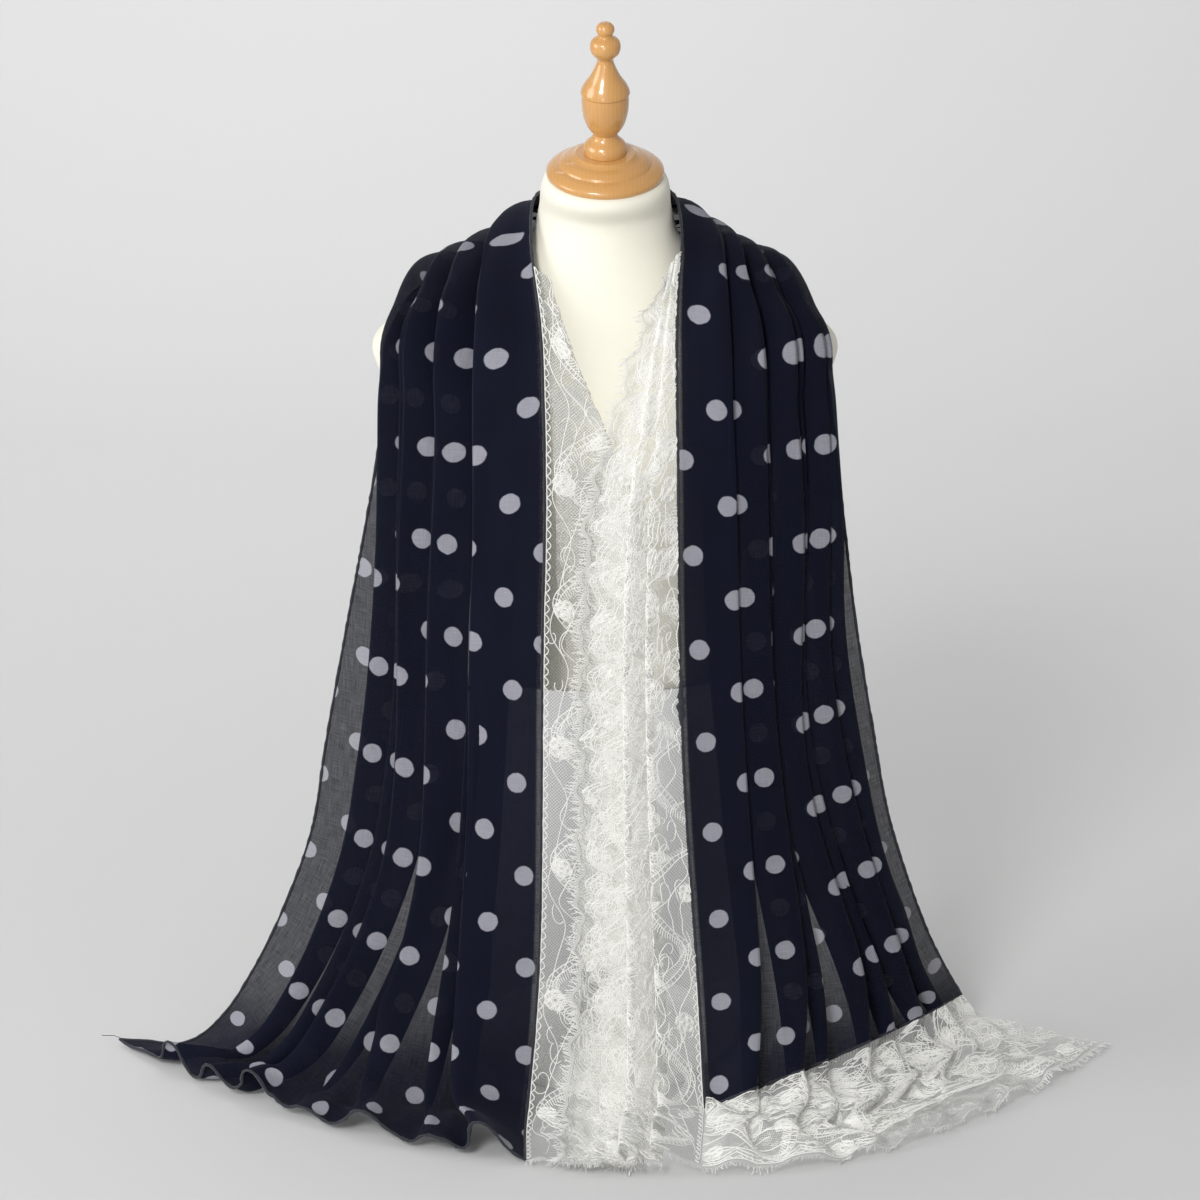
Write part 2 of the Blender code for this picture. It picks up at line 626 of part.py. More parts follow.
def ladder_holes(bm, faces):
    """Cuts two square holes, with a bar between them, through the middle of each face."""
    for face in faces:
        corners = [loop.vert.co.copy() for loop in face.loops]
        middle = face.calc_center_median()
        first = (corners[1] + corners[2] - corners[0] - corners[3]).normalized()
        second = (corners[2] + corners[3] - corners[0] - corners[1]).normalized()
        first_length = (corners[1] + corners[2] - corners[0] - corners[3]).length / 2
        second_length = (corners[2] + corners[3] - corners[0] - corners[1]).length / 2
        if first_length > second_length:
            long_way, reach = first, (LADDER_LENGTH / 2, LACE_HOLE / 2)
        else:
            long_way, reach = second, (LACE_HOLE / 2, LADDER_LENGTH / 2)
        bmesh.ops.inset_individual(bm, faces=[face], thickness=LADDER_INSET)
        for loop, (one, two) in zip(face.loops, ((-1, -1), (1, -1), (1, 1), (-1, 1))):
            loop.vert.co = middle + one * reach[0] * first + two * reach[1] * second
        pieces = {face}
        for side in (-1, 1):
            parts = [item for one in pieces for item in (one, *one.edges, *one.verts)]
            cut = bmesh.ops.bisect_plane(bm, geom=list(set(parts)), plane_no=long_way,
                                         plane_co=middle + side * LADDER_BAR / 2 * long_way)
            pieces |= {item for item in cut["geom"] if isinstance(item, bmesh.types.BMFace)}
        holes = [one for one in pieces if one.is_valid
                 and abs((one.calc_center_median() - middle).dot(long_way)) > LADDER_BAR / 2]
        bmesh.ops.delete(bm, geom=holes, context="FACES_ONLY")


def lash_strip(name, edge, outward, per_span, look):
    """A narrow backing along a lace edge, with thread ends that stand out from it."""
    bm = bmesh.new()
    near, far = LASH_GAP, LASH_GAP + BACKING_WIDTH
    last_inner = bm.verts.new(edge[0] + near * outward[0])
    last_outer = bm.verts.new(edge[0] + far * outward[0])
    for k in range(len(edge) - 1):
        length = np.linalg.norm(edge[k + 1] - edge[k])
        stops = [(1.0, False)]
        for lash in range(per_span):
            middle = (lash + 0.5) / per_span
            half = LASH_WIDTH / length / 2
            stops += [(middle - half, False), (middle + half, True)]
        for share, is_lash in sorted(stops):
            at = edge[k] + share * (edge[k + 1] - edge[k])
            way = unit(outward[k] + share * (outward[k + 1] - outward[k]))
            inner, outer = bm.verts.new(at + near * way), bm.verts.new(at + far * way)
            bm.faces.new((last_inner, last_outer, outer, inner))
            if is_lash:
                tip = bm.verts.new(at - LASH_WIDTH / 2 * unit(edge[k + 1] - edge[k])
                                   + (far + LASH_LENGTH) * way)
                bm.faces.new((last_outer, tip, outer))
            last_inner, last_outer = inner, outer
    obj = add_object(name, bm, look)
    thicken(obj, LASH_WALL)
    return obj


# ---- objects ----
def clear_scene():
    for obj in list(bpy.data.objects):
        bpy.data.objects.remove(obj)


def material(name, colour, roughness, metallic=0.0):
    made = bpy.data.materials.new(name)
    made.use_nodes = True
    shader = made.node_tree.nodes["Principled BSDF"]
    shader.inputs["Base Color"].default_value = (*colour, 1.0)
    shader.inputs["Roughness"].default_value = roughness
    shader.inputs["Metallic"].default_value = metallic
    return made


def add_object(name, bm, look, smooth=True):
    bmesh.ops.recalc_face_normals(bm, faces=bm.faces)
    mesh = bpy.data.meshes.new(name)
    bm.to_mesh(mesh)
    bm.free()
    mesh.materials.append(look)
    if smooth:
        mesh.shade_smooth()
        mesh.set_sharp_from_angle(angle=math.radians(40))
    obj = bpy.data.objects.new(name, mesh)
    bpy.context.scene.collection.objects.link(obj)
    return obj


def turned(name, profile, sides, look):
    """A solid of revolution about Z, from a profile that runs from the top down."""
    bm = bmesh.new()
    corners = [bm.verts.new((turn.radius, 0.0, turn.height)) for turn in profile]
    edges = [bm.edges.new(pair) for pair in zip(corners, corners[1:])]
    bmesh.ops.spin(bm, geom=corners + edges, cent=(0, 0, 0), axis=(0, 0, 1), angle=2 * math.pi,
                   steps=sides, use_merge=True)
    bmesh.ops.remove_doubles(bm, verts=bm.verts, dist=0.00002)
    bmesh.ops.holes_fill(bm, edges=[edge for edge in bm.edges if edge.is_boundary])
    return add_object(name, bm, look)


def ring_verts(bm, ring):
    """One level of the form: a rounded ring, tipped forward by its tilt."""
    middle, depth = (ring.front + ring.back) / 2, (ring.back - ring.front) / 2
    verts = []
    for side in range(FORM_SIDES):
        angle = 2 * math.pi * side / FORM_SIDES
        cos, sin = math.cos(angle), math.sin(angle)
        x = ring.half_width * math.copysign(abs(cos) ** (2 / ring.squareness), cos)
        y = depth * math.copysign(abs(sin) ** (2 / ring.squareness), sin)
        z = ring.height + math.tan(math.radians(ring.tilt)) * y
        verts.append(bm.verts.new((x, middle + y, z)))
    return verts


def form_torso(look):
    bm = bmesh.new()
    rings = [ring_verts(bm, ring) for ring in TORSO]
    loops = [[bm.edges.new((ring[k - 1], ring[k])) for k in range(FORM_SIDES)] for ring in rings]
    for lower, upper in zip(loops, loops[1:]):
        bmesh.ops.bridge_loops(bm, edges=lower + upper)
    bm.faces.new(rings[0])
    bm.faces.new(rings[-1])
    return add_object("form_torso", bm, look)


def form_neck(look):
    """The turned cap on the neck and the finial on the cap, on one axis that leans forward."""
    holder = bpy.data.objects.new("neck_axis", None)
    bpy.context.scene.collection.objects.link(holder)
    top = TORSO[-1]
    holder.location = (0.0, (top.front + top.back) / 2, top.height + SEAM_GAP)
    holder.rotation_euler = (math.radians(top.tilt), 0.0, 0.0)
    cap = turned("form_cap", CAP, CAP_SIDES, look)
    finial = turned("form_finial", FINIAL, FINIAL_SIDES, look)
    finial.location = (0.0, 0.0, CAP[0].height + SEAM_GAP)
    for piece in (cap, finial):
        piece.parent = holder


def form_stand(enamel, metal):
    """The round base, the socket on it and the pole from the socket to the form."""
    socket_foot = BASE[0].height + SEAM_GAP
    pole_foot = socket_foot + SOCKET[0].height + SEAM_GAP
    pole = (Turn(POLE_RADIUS, TORSO[0].height - SEAM_GAP), Turn(POLE_RADIUS, pole_foot))
    turned("form_pole", pole, POLE_SIDES, enamel)
    socket = turned("form_socket", SOCKET, SOCKET_SIDES, metal)
    socket.location = (0.0, 0.0, socket_foot)
    turned("form_base", BASE, BASE_SIDES, enamel)


def sheet(name, points, wall, look, ladders=()):
    """A cloth wall through a grid of points, with ladder holes at the (row, column) cells given."""
    rows, columns = points.shape[:2]
    bm = bmesh.new()
    bmesh.ops.create_grid(bm, x_segments=columns - 1, y_segments=rows - 1, size=0.5)
    cells = {}
    for face in bm.faces:
        middle = face.calc_center_median()
        cells[int((middle.y + 0.5) * (rows - 1)), int((middle.x + 0.5) * (columns - 1))] = face
    for vert in bm.verts:
        column = round((vert.co.x + 0.5) * (columns - 1))
        row = round((vert.co.y + 0.5) * (rows - 1))
        vert.co = points[row, column]
    ladder_holes(bm, [cells[cell] for cell in ladders])
    obj = add_object(name, bm, look)
    thicken(obj, wall)
    return obj


def thicken(obj, wall):
    solidify = obj.modifiers.new("wall", "SOLIDIFY")
    solidify.thickness = wall
    solidify.offset = 0.0
    solidify.use_even_offset = False


def main():
    clear_scene()
    jersey = material("cream_jersey", (0.87, 0.85, 0.76), 0.75)
    wood = material("varnished_beech", (0.68, 0.40, 0.19), 0.25)
    enamel = material("white_enamel", (0.80, 0.80, 0.78), 0.35)
    black = material("black_metal", (0.03, 0.03, 0.03), 0.4)
    chiffon = material("navy_chiffon", (0.012, 0.014, 0.026), 0.85)
    lace = material("white_lace", (0.85, 0.85, 0.82), 0.8)

    form_torso(jersey)
    form_neck(wood)
    form_stand(enamel, black)

    left_edges = scarf_path(INNER_LEFT), scarf_path(OUTER_LEFT)
    right_edges = scarf_path(INNER_RIGHT), scarf_path(OUTER_RIGHT)
    left = panel_points(*left_edges, HANG_LEFT, FOLDS_LEFT, LEVELS_LEFT)
    right = panel_points(*right_edges, HANG_RIGHT, FOLDS_RIGHT, LEVELS_RIGHT)
    back_left = panel_points(*left_edges, HANG_LEFT, FOLDS_LEFT, LEVELS_BACK)
    back_right = panel_points(*right_edges, HANG_RIGHT, FOLDS_RIGHT, LEVELS_BACK)
    middle = (back_left[:1] + back_right[:1]) / 2
    back = np.concatenate([
        next_row(left[:1], left[1:2], JOIN_GAP), back_left[:0:-1], middle, back_right[1:],
        next_row(right[:1], right[1:2], JOIN_GAP)])
    sheet("chiffon_front_left", left, CHIFFON_WALL, chiffon)
    sheet("chiffon_front_right", right, CHIFFON_WALL, chiffon)
    sheet("chiffon_back", back, CHIFFON_WALL, chiffon)

    ruffle = ruffle_points(right[-1], right[-2])
    sheet("lace_end_ruffle", ruffle, LACE_WALL, lace, RUFFLE_LADDERS)
    edging = edging_left(left[:, 0], np.array(LEVELS_LEFT))
    sheet("lace_edging_left", edging, LACE_WALL, lace, EDGING_LEFT_LADDERS)
    floor_shares = np.array(FLOOR_LEVELS_RIGHT)
    floor_seam = along(smooth_path(SEAM_FLOOR_RIGHT), floor_shares)
    seam = np.concatenate([right[:, 0], floor_seam])
    over_floor = FLOOR_SHARE + (1 - FLOOR_SHARE) * floor_shares
    shares = np.concatenate([HEM_SHARE * np.array(LEVELS_RIGHT), over_floor])
    edging = edging_right(seam, shares)
    sheet("lace_edging_right", edging, LACE_WALL, lace, EDGING_RIGHT_LADDERS)
    nape = back[NAPE_INSET:-NAPE_INSET]
    sheet("lace_edging_nape", edging_nape(nape), LACE_WALL, lace)
    lash_strip("lace_lashes_right", edging[:, -1], unit(edging[:, -1] - edging[:, -2]), 2, lace)
    lash_strip("lace_lashes_ruffle", ruffle[-1], unit(ruffle[-1] - ruffle[-2]), 1, lace)


main()
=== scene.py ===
"""The looks of a dotted chiffon scarf with lace edging, hung round the neck of a limbless dress form."""

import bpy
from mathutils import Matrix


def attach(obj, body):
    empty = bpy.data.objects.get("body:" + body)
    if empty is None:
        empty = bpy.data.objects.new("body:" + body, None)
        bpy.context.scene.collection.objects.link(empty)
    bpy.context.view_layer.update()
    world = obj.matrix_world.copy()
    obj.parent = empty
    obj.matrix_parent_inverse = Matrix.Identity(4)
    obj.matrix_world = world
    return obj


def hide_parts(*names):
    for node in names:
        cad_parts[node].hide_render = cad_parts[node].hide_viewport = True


bl_info = {
    "name": "Lace-Edged Chiffon Scarf",
    "version": (1, 0, 0),
    "blender": (4, 5, 0),
    "location": "3D View > Sidebar > Scarf",
    "description": "Builds a sheer dotted scarf with floral lace, the dress form under it and a plain studio",
    "category": "Object",
}

import math
from collections import namedtuple

import bmesh
import bpy
import numpy as np

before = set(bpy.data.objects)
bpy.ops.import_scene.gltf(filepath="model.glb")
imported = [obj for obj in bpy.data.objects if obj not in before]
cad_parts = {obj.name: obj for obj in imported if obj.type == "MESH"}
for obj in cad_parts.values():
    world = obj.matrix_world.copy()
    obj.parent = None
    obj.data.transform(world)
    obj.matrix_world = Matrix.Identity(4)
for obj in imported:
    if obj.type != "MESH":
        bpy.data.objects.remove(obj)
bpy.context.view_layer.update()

BODY = "root"

# ---- sizes that the solids share, in metres ----
SEAM_GAP = 0.0003
CHIFFON_WIDTH = 0.62
LACE_WIDTH = 0.165
FLOOR_REST = 0.0011


def table(kind, *rows):
    """The rows as named tuples of one kind."""
    return tuple(kind(*row) for row in rows)


Ring = namedtuple("Ring", "height half_width front back squareness tilt")
TORSO = table(
    Ring,
    (0.360, 0.118, -0.080, 0.076, 2.2, 0.0), (0.364, 0.122, -0.084, 0.080, 2.2, 0.0),
    (0.400, 0.117, -0.080, 0.074, 2.2, 0.0), (0.440, 0.116, -0.082, 0.072, 2.2, 0.0),
    (0.480, 0.124, -0.092, 0.074, 2.2, 0.0), (0.520, 0.136, -0.106, 0.078, 2.2, 0.0),
    (0.555, 0.147, -0.115, 0.083, 2.2, 0.0), (0.590, 0.162, -0.113, 0.088, 2.3, 0.0),
    (0.618, 0.184, -0.105, 0.090, 2.4, 0.0), (0.640, 0.198, -0.096, 0.088, 2.4, 0.0),
    (0.657, 0.199, -0.088, 0.084, 2.4, 0.0), (0.672, 0.184, -0.081, 0.079, 2.3, 0.0),
    (0.684, 0.160, -0.076, 0.074, 2.2, 0.0), (0.697, 0.130, -0.071, 0.070, 2.1, 0.0),
    (0.712, 0.102, -0.066, 0.065, 2.0, 0.0), (0.729, 0.078, -0.060, 0.060, 2.0, 0.0),
    (0.748, 0.063, -0.055, 0.056, 2.0, 2.0), (0.772, 0.0565, -0.055, 0.051, 2.0, 7.0),
    (0.799, 0.0525, -0.070, 0.033, 2.0, 14.0), (0.803, 0.0495, -0.067, 0.030, 2.0, 14.0),
)

# Radius and height above the piece's foot, from the top down. A crisp point is a corner of the turning.
Turn = namedtuple("Turn", "radius height crisp")
CAP = table(
    Turn,
    (0.0182, 0.0204, True), (0.0250, 0.0202, True), (0.0268, 0.0186, True), (0.0290, 0.0172, True),
    (0.0340, 0.0156, False), (0.0386, 0.0126, True), (0.0396, 0.0108, True), (0.0440, 0.0094, False),
    (0.0478, 0.0070, True), (0.0498, 0.0046, False), (0.0499, 0.0022, False), (0.0488, 0.0, True),
)
FINIAL = table(
    Turn,
    (0.0008, 0.1182, False), (0.0046, 0.1175, False), (0.0072, 0.1146, False), (0.0076, 0.1110, False),
    (0.0062, 0.1074, False), (0.0066, 0.1056, True), (0.0115, 0.1020, False), (0.0129, 0.0970, False),
    (0.0118, 0.0915, False), (0.0078, 0.0872, True), (0.0068, 0.0850, False), (0.0088, 0.0780, False),
    (0.0130, 0.0695, False), (0.0180, 0.0622, False), (0.0204, 0.0572, True), (0.0208, 0.0550, True),
    (0.0196, 0.0536, True), (0.0200, 0.0478, False), (0.0192, 0.0373, False), (0.0160, 0.0260, False),
    (0.0102, 0.0175, True), (0.0112, 0.0145, False), (0.0165, 0.0090, True), (0.0180, 0.0060, False),
    (0.0181, 0.0, True),
)

SOCKET = table(
    Turn,
    (0.0180, 0.0460, True), (0.0190, 0.0445, True), (0.0200, 0.0200, False), (0.0225, 0.0035, True),
    (0.0225, 0.0, True),
)
BASE = table(
    Turn,
    (0.0230, 0.0240, True), (0.0400, 0.0215, False), (0.0750, 0.0185, False), (0.1120, 0.0125, True),
    (0.1195, 0.0085, True), (0.1200, 0.0070, True), (0.1200, 0.0, True),
)
POLE_RADIUS = 0.014

Point = namedtuple("Point", "x y z")
INNER_LEFT = table(
    Point,
    (0.000, 0.062, 0.770), (-0.039, 0.051, 0.775), (-0.060, 0.008, 0.778), (-0.063, -0.030, 0.752),
    (-0.059, -0.066, 0.722), (-0.054, -0.096, 0.686), (-0.052, -0.117, 0.640), (-0.051, -0.128, 0.590),
    (-0.051, -0.134, 0.520), (-0.053, -0.138, 0.440), (-0.054, -0.141, 0.350), (-0.055, -0.144, 0.250),
    (-0.057, -0.147, 0.150), (-0.061, -0.152, 0.080), (-0.066, -0.168, 0.026), (-0.069, -0.205, 0.0048),
    (-0.068, -0.267, 0.0048),
)
OUTER_LEFT = table(
    Point,
    (0.000, 0.100, 0.655), (-0.075, 0.094, 0.668), (-0.135, 0.064, 0.690), (-0.164, 0.012, 0.694),
    (-0.184, -0.034, 0.668), (-0.190, -0.058, 0.630), (-0.193, -0.068, 0.580), (-0.205, -0.071, 0.510),
    (-0.223, -0.072, 0.418), (-0.244, -0.070, 0.306), (-0.257, -0.066, 0.230), (-0.283, -0.060, 0.155),
    (-0.314, -0.052, 0.088), (-0.345, -0.044, 0.038), (-0.378, -0.036, 0.009), (-0.410, -0.027, FLOOR_REST),
    (-0.440, -0.020, FLOOR_REST),
)
INNER_RIGHT = table(
    Point,
    (0.000, 0.062, 0.770), (0.037, 0.050, 0.776), (0.059, 0.006, 0.780), (0.065, -0.032, 0.754),
    (0.062, -0.066, 0.722), (0.060, -0.096, 0.686), (0.060, -0.118, 0.636), (0.061, -0.130, 0.580),
    (0.062, -0.136, 0.510), (0.063, -0.140, 0.430), (0.066, -0.144, 0.340), (0.071, -0.148, 0.250),
    (0.077, -0.152, 0.170), (0.082, -0.156, 0.100), (0.085, -0.163, 0.045), (0.087, -0.176, 0.0105),
)
OUTER_RIGHT = table(
    Point,
    (0.000, 0.100, 0.655), (0.075, 0.094, 0.668), (0.133, 0.062, 0.692), (0.160, 0.010, 0.699),
    (0.181, -0.034, 0.668), (0.190, -0.056, 0.632), (0.195, -0.064, 0.590), (0.205, -0.066, 0.510),
    (0.217, -0.064, 0.418), (0.233, -0.057, 0.325), (0.250, -0.045, 0.235), (0.270, -0.029, 0.167),
    (0.294, -0.010, 0.100), (0.312, 0.008, 0.060), (0.326, 0.022, 0.032),
)

# How the cloth hangs at each share of the way from the back to the end:
# the way its folds face, how far it stands off the form, how far the folds lie over, how far the middle
# bows forward, and the shares of the span that the first fold and the plain outer stretch take.
Hang = namedtuple("Hang", "share face_x face_y face_z clearance lean bow first plain")
HANG_LEFT = table(
    Hang,
    (0.000, 0.00, 1.00, 0.30, 0.0040, 1.2, 0.000, 0.16, 0.10),
    (0.075, -0.35, 0.90, 0.40, 0.0042, 1.4, 0.000, 0.16, 0.12),
    (0.140, -0.40, 0.35, 0.87, 0.0010, 1.5, 0.000, 0.16, 0.15),
    (0.185, -0.35, -0.30, 0.87, 0.0012, 1.6, 0.000, 0.16, 0.16),
    (0.240, -0.30, -0.78, 0.55, 0.0040, 1.7, 0.000, 0.16, 0.18),
    (0.320, -0.25, -0.95, 0.20, 0.0060, 2.88, 0.000, 0.17, 0.20),
    (0.480, -0.20, -1.00, 0.05, 0.0050, 3.74, 0.002, 0.18, 0.26),
    (0.640, -0.15, -1.00, 0.00, 0.0050, 3.96, 0.006, 0.18, 0.28),
    (0.800, -0.10, -1.00, 0.10, 0.0050, 3.08, 0.014, 0.17, 0.27),
    (0.880, -0.10, -0.95, 0.30, 0.0050, 1.76, 0.024, 0.16, 0.22),
    (0.930, -0.05, -0.70, 0.70, 0.0050, 0.9, 0.034, 0.15, 0.17),
    (0.965, 0.00, -0.25, 1.00, 0.0050, 0.7, 0.042, 0.14, 0.13),
    (1.000, 0.00, 0.00, 1.00, 0.0050, 0.5, 0.046, 0.14, 0.11),
)
HANG_RIGHT = table(
    Hang,
    (0.000, 0.00, 1.00, 0.30, 0.0040, 1.2, 0.000, 0.16, 0.10),
    (0.080, 0.35, 0.90, 0.40, 0.0042, 1.3, 0.000, 0.17, 0.12),
    (0.150, 0.40, 0.35, 0.87, 0.0010, 1.2, 0.000, 0.18, 0.14),
    (0.200, 0.35, -0.30, 0.87, 0.0014, 1.2, 0.000, 0.18, 0.15),
    (0.260, 0.30, -0.78, 0.55, 0.0046, 1.6, 0.000, 0.16, 0.16),
    (0.350, 0.25, -0.95, 0.20, 0.0065, 2.60, 0.000, 0.16, 0.17),
    (0.520, 0.20, -1.00, 0.05, 0.0050, 3.74, 0.002, 0.17, 0.20),
    (0.700, 0.20, -1.00, 0.00, 0.0050, 3.74, 0.004, 0.17, 0.22),
    (0.850, 0.25, -0.95, 0.15, 0.0050, 2.24, 0.008, 0.16, 0.22),
    (0.940, 0.30, -0.90, 0.35, 0.0050, 1.1, 0.012, 0.15, 0.18),
    (1.000, 0.30, -0.80, 0.55, 0.0050, 0.6, 0.014, 0.14, 0.14),
)
FOLDS_LEFT = (0.165, 0.098, 0.160, 0.092, 0.148, 0.107, 0.125)
FOLDS_RIGHT = (0.135, 0.155, 0.105, 0.142, 0.110, 0.133, 0.115)

LACE_FOLD_LEFT = table(
    Point,
    (-0.048, -0.071, 0.727), (-0.036, -0.094, 0.690), (-0.020, -0.111, 0.650), (-0.003, -0.121, 0.610),
    (0.018, -0.126, 0.560), (0.032, -0.130, 0.500), (0.038, -0.134, 0.420), (0.040, -0.137, 0.330),
    (0.041, -0.140, 0.220), (0.041, -0.142, 0.120), (0.041, -0.145, 0.060), (0.040, -0.153, 0.022),
    (0.037, -0.178, 0.0060), (0.033, -0.222, 0.0050), (0.030, -0.280, 0.0050),
)
LACE_EDGE_RIGHT = table(
    Point,
    (0.049, -0.070, 0.728), (0.034, -0.098, 0.690), (0.018, -0.118, 0.644), (0.005, -0.131, 0.600),
    (-0.009, -0.139, 0.550), (-0.0145, -0.145, 0.485), (-0.0176, -0.149, 0.400), (-0.019, -0.152, 0.300),
    (-0.020, -0.155, 0.200), (-0.022, -0.160, 0.110), (-0.026, -0.173, 0.052), (-0.031, -0.203, 0.017),
    (-0.034, -0.240, 0.0105), (-0.034, -0.286, 0.0100),
)
SEAM_FLOOR_RIGHT = table(
    Point,
    (0.087, -0.184, 0.0085), (0.085, -0.225, 0.0085), (0.081, -0.283, 0.0085),
)
Facing = namedtuple("Facing", "share face_x face_y face_z")
EDGING_FACING = table(
    Facing,
    (0.16, 0.00, -0.60, 0.60), (0.24, 0.00, -0.85, 0.50), (0.32, 0.00, -0.96, 0.25),
    (0.50, 0.00, -1.00, 0.05), (0.80, 0.00, -1.00, 0.05), (0.88, 0.00, -0.95, 0.25),
    (0.92, 0.00, -0.60, 0.70), (0.95, 0.00, -0.15, 1.00), (1.00, 0.00, 0.00, 1.00),
)
EDGING_GAP = 0.0005

# The left edging: the rows across its front and its turned-back layer, how far apart those lie, how far the
# turn between them bulges and at which angles it is drawn, how wide the turned-back layer may be beside the
# front one, and the front one's soft wave, which fades where it is narrow.
FRONT_ROWS = 27
UNDER_ROWS = 25
EDGING_TURN = 0.0036
EDGING_BULGE = 0.0018
TURN_ANGLES = (20, 60, 90, 120, 160)
MOST_UNDER = 0.88
LEFT_CLEARANCE = 0.0012
EDGING_WAVE = 0.0022
WAVE_TURNS = 1.25
WAVE_FULL_WIDTH = 0.09

# The right edging: its folds' shares of its span, the span at which its whole width shows, and how far its
# folds lie over. Its last part runs on over the floor, past the chiffon's end.
EDGING_SPANS = (0.30, 0.26, 0.44)
EDGING_FULL_SPAN = 0.080
EDGING_LEAN = 1.4
RIGHT_CLEARANCE = 0.0025
HEM_SHARE = 0.87
FLOOR_SHARE = 0.895
FLOOR_SPAN = 0.105
FLOOR_ROWS = 48
# How its eyelash edge wanders from side to side: how far and over what length. It fades towards the seam.
EDGE_WANDERS = ((0.0030, 0.047), (0.0018, 0.021))
WANDER_FADE = 6

# The nape's edging: how far down and in it lies where it turns over the hem, how far behind the chiffon it
# hangs, and how far down it reaches.
NAPE_LIP = ((0.0016, 0.0004), (0.0022, 0.0012), (0.0016, 0.0020))
NAPE_TURN = 0.0024
NAPE_DEPTHS = (0.001, 0.014)
NAPE_ROWS = 16
RUFFLE_INNER = table(
    Point,
    (0.087, -0.176, 0.0105), (0.087, -0.200, 0.004), (0.084, -0.235, 0.0022), (0.082, -0.281, 0.0022),
)
RUFFLE_OUTER = table(
    Point,
    (0.326, 0.022, 0.032), (0.346, 0.014, 0.012), (0.390, -0.001, 0.003), (0.450, -0.020, 0.0022),
)
HANG_RUFFLE = table(
    Hang,
    (0.000, 0.30, -0.80, 0.55, 0.0050, 0.6, 0.014, 0.14, 0.14),
    (0.250, 0.28, -0.76, 0.60, 0.0050, 0.6, 0.034, 0.14, 0.13),
    (0.500, 0.10, -0.40, 0.92, 0.0050, 0.5, 0.052, 0.14, 0.12),
    (1.000, 0.00, 0.00, 1.00, 0.0050, 0.2, 0.074, 0.14, 0.11),
)
RUFFLE_FLAT = 0.60
LEAN_FADE = 0.6
SWING_STEPS = 48
MOST_SWING = 2.15
PATH_STEPS = 14
ACROSS_STEPS = 21

# ---- how finely the cloth is drawn here ----
FOLD_STEPS = 15
HALF_ROWS = 150
LACE_ROWS = 220
RUFFLE_FINE_ROWS = 44
FRONT_SHARE = 0.168

# Where the folds wander: how much each one grows and shrinks on the way down, how often, and where it starts.
Sway = namedtuple("Sway", "amount turns start")
SWAYS = table(
    Sway,
    (0.15, 1.3, 0.10), (0.24, 1.7, 0.65), (0.27, 2.1, 0.30), (0.30, 1.5, 0.85), (0.27, 2.4, 0.50),
    (0.24, 1.9, 0.05), (0.21, 1.4, 0.40), (0.12, 1.2, 0.75),
)

# Creases pressed into the chiffon: place across and along, size, depth, and the angle from straight down.
# A depth below zero is a ridge.
Crease = namedtuple("Crease", "across along length width depth turn")
CREASES_LEFT = table(
    Crease,
    (0.060, 0.19, 0.090, 0.007, 0.0024, 12), (0.130, 0.23, 0.120, 0.006, 0.0027, -8),
    (0.220, 0.21, 0.080, 0.008, -0.0024, 18), (0.330, 0.24, 0.110, 0.007, 0.0027, 10),
    (0.430, 0.22, 0.090, 0.006, 0.0021, -14), (0.520, 0.26, 0.100, 0.007, -0.0023, 9),
    (0.050, 0.40, 0.170, 0.009, 0.0027, 3), (0.160, 0.46, 0.200, 0.008, -0.0027, -4),
    (0.260, 0.41, 0.150, 0.009, 0.0030, 6), (0.370, 0.50, 0.180, 0.008, 0.0027, -7),
    (0.560, 0.44, 0.160, 0.010, -0.0030, 5), (0.075, 0.63, 0.210, 0.010, 0.0030, -3),
    (0.190, 0.70, 0.160, 0.008, 0.0027, 8), (0.300, 0.66, 0.220, 0.009, -0.0027, -5),
    (0.590, 0.68, 0.180, 0.010, 0.0033, 7), (0.110, 0.84, 0.120, 0.010, 0.0046, 14),
    (0.230, 0.88, 0.100, 0.009, -0.0042, -16), (0.350, 0.86, 0.120, 0.010, 0.0046, 10),
    (0.480, 0.90, 0.090, 0.009, 0.0038, -12), (0.580, 0.87, 0.110, 0.010, -0.0042, 18),
    (0.090, 0.95, 0.070, 0.009, 0.0049, -30), (0.270, 0.96, 0.080, 0.010, 0.0046, 35),
    (0.410, 0.94, 0.070, 0.009, -0.0042, -25), (0.540, 0.97, 0.080, 0.010, 0.0046, 28),
)
CREASES_RIGHT = table(
    Crease,
    (0.050, 0.20, 0.100, 0.007, 0.0024, -10), (0.150, 0.24, 0.090, 0.006, -0.0024, 13),
    (0.260, 0.22, 0.120, 0.008, 0.0027, -9), (0.360, 0.26, 0.080, 0.007, 0.0024, 16),
    (0.470, 0.23, 0.110, 0.006, -0.0023, -12), (0.060, 0.38, 0.160, 0.009, -0.0027, 4),
    (0.180, 0.44, 0.190, 0.008, 0.0029, -6), (0.290, 0.47, 0.150, 0.009, 0.0027, 7),
    (0.400, 0.42, 0.180, 0.008, -0.0027, -3), (0.550, 0.48, 0.170, 0.010, 0.0030, 6),
    (0.080, 0.60, 0.200, 0.010, 0.0030, 5), (0.210, 0.68, 0.170, 0.008, -0.0027, -8),
    (0.320, 0.64, 0.210, 0.009, 0.0030, 4), (0.440, 0.71, 0.150, 0.008, 0.0027, -9),
    (0.580, 0.66, 0.180, 0.010, -0.0030, 6), (0.100, 0.83, 0.120, 0.010, 0.0042, -13),
    (0.240, 0.86, 0.110, 0.009, 0.0042, 15), (0.380, 0.88, 0.100, 0.010, -0.0038, -11),
    (0.530, 0.85, 0.120, 0.010, 0.0042, 12),
)

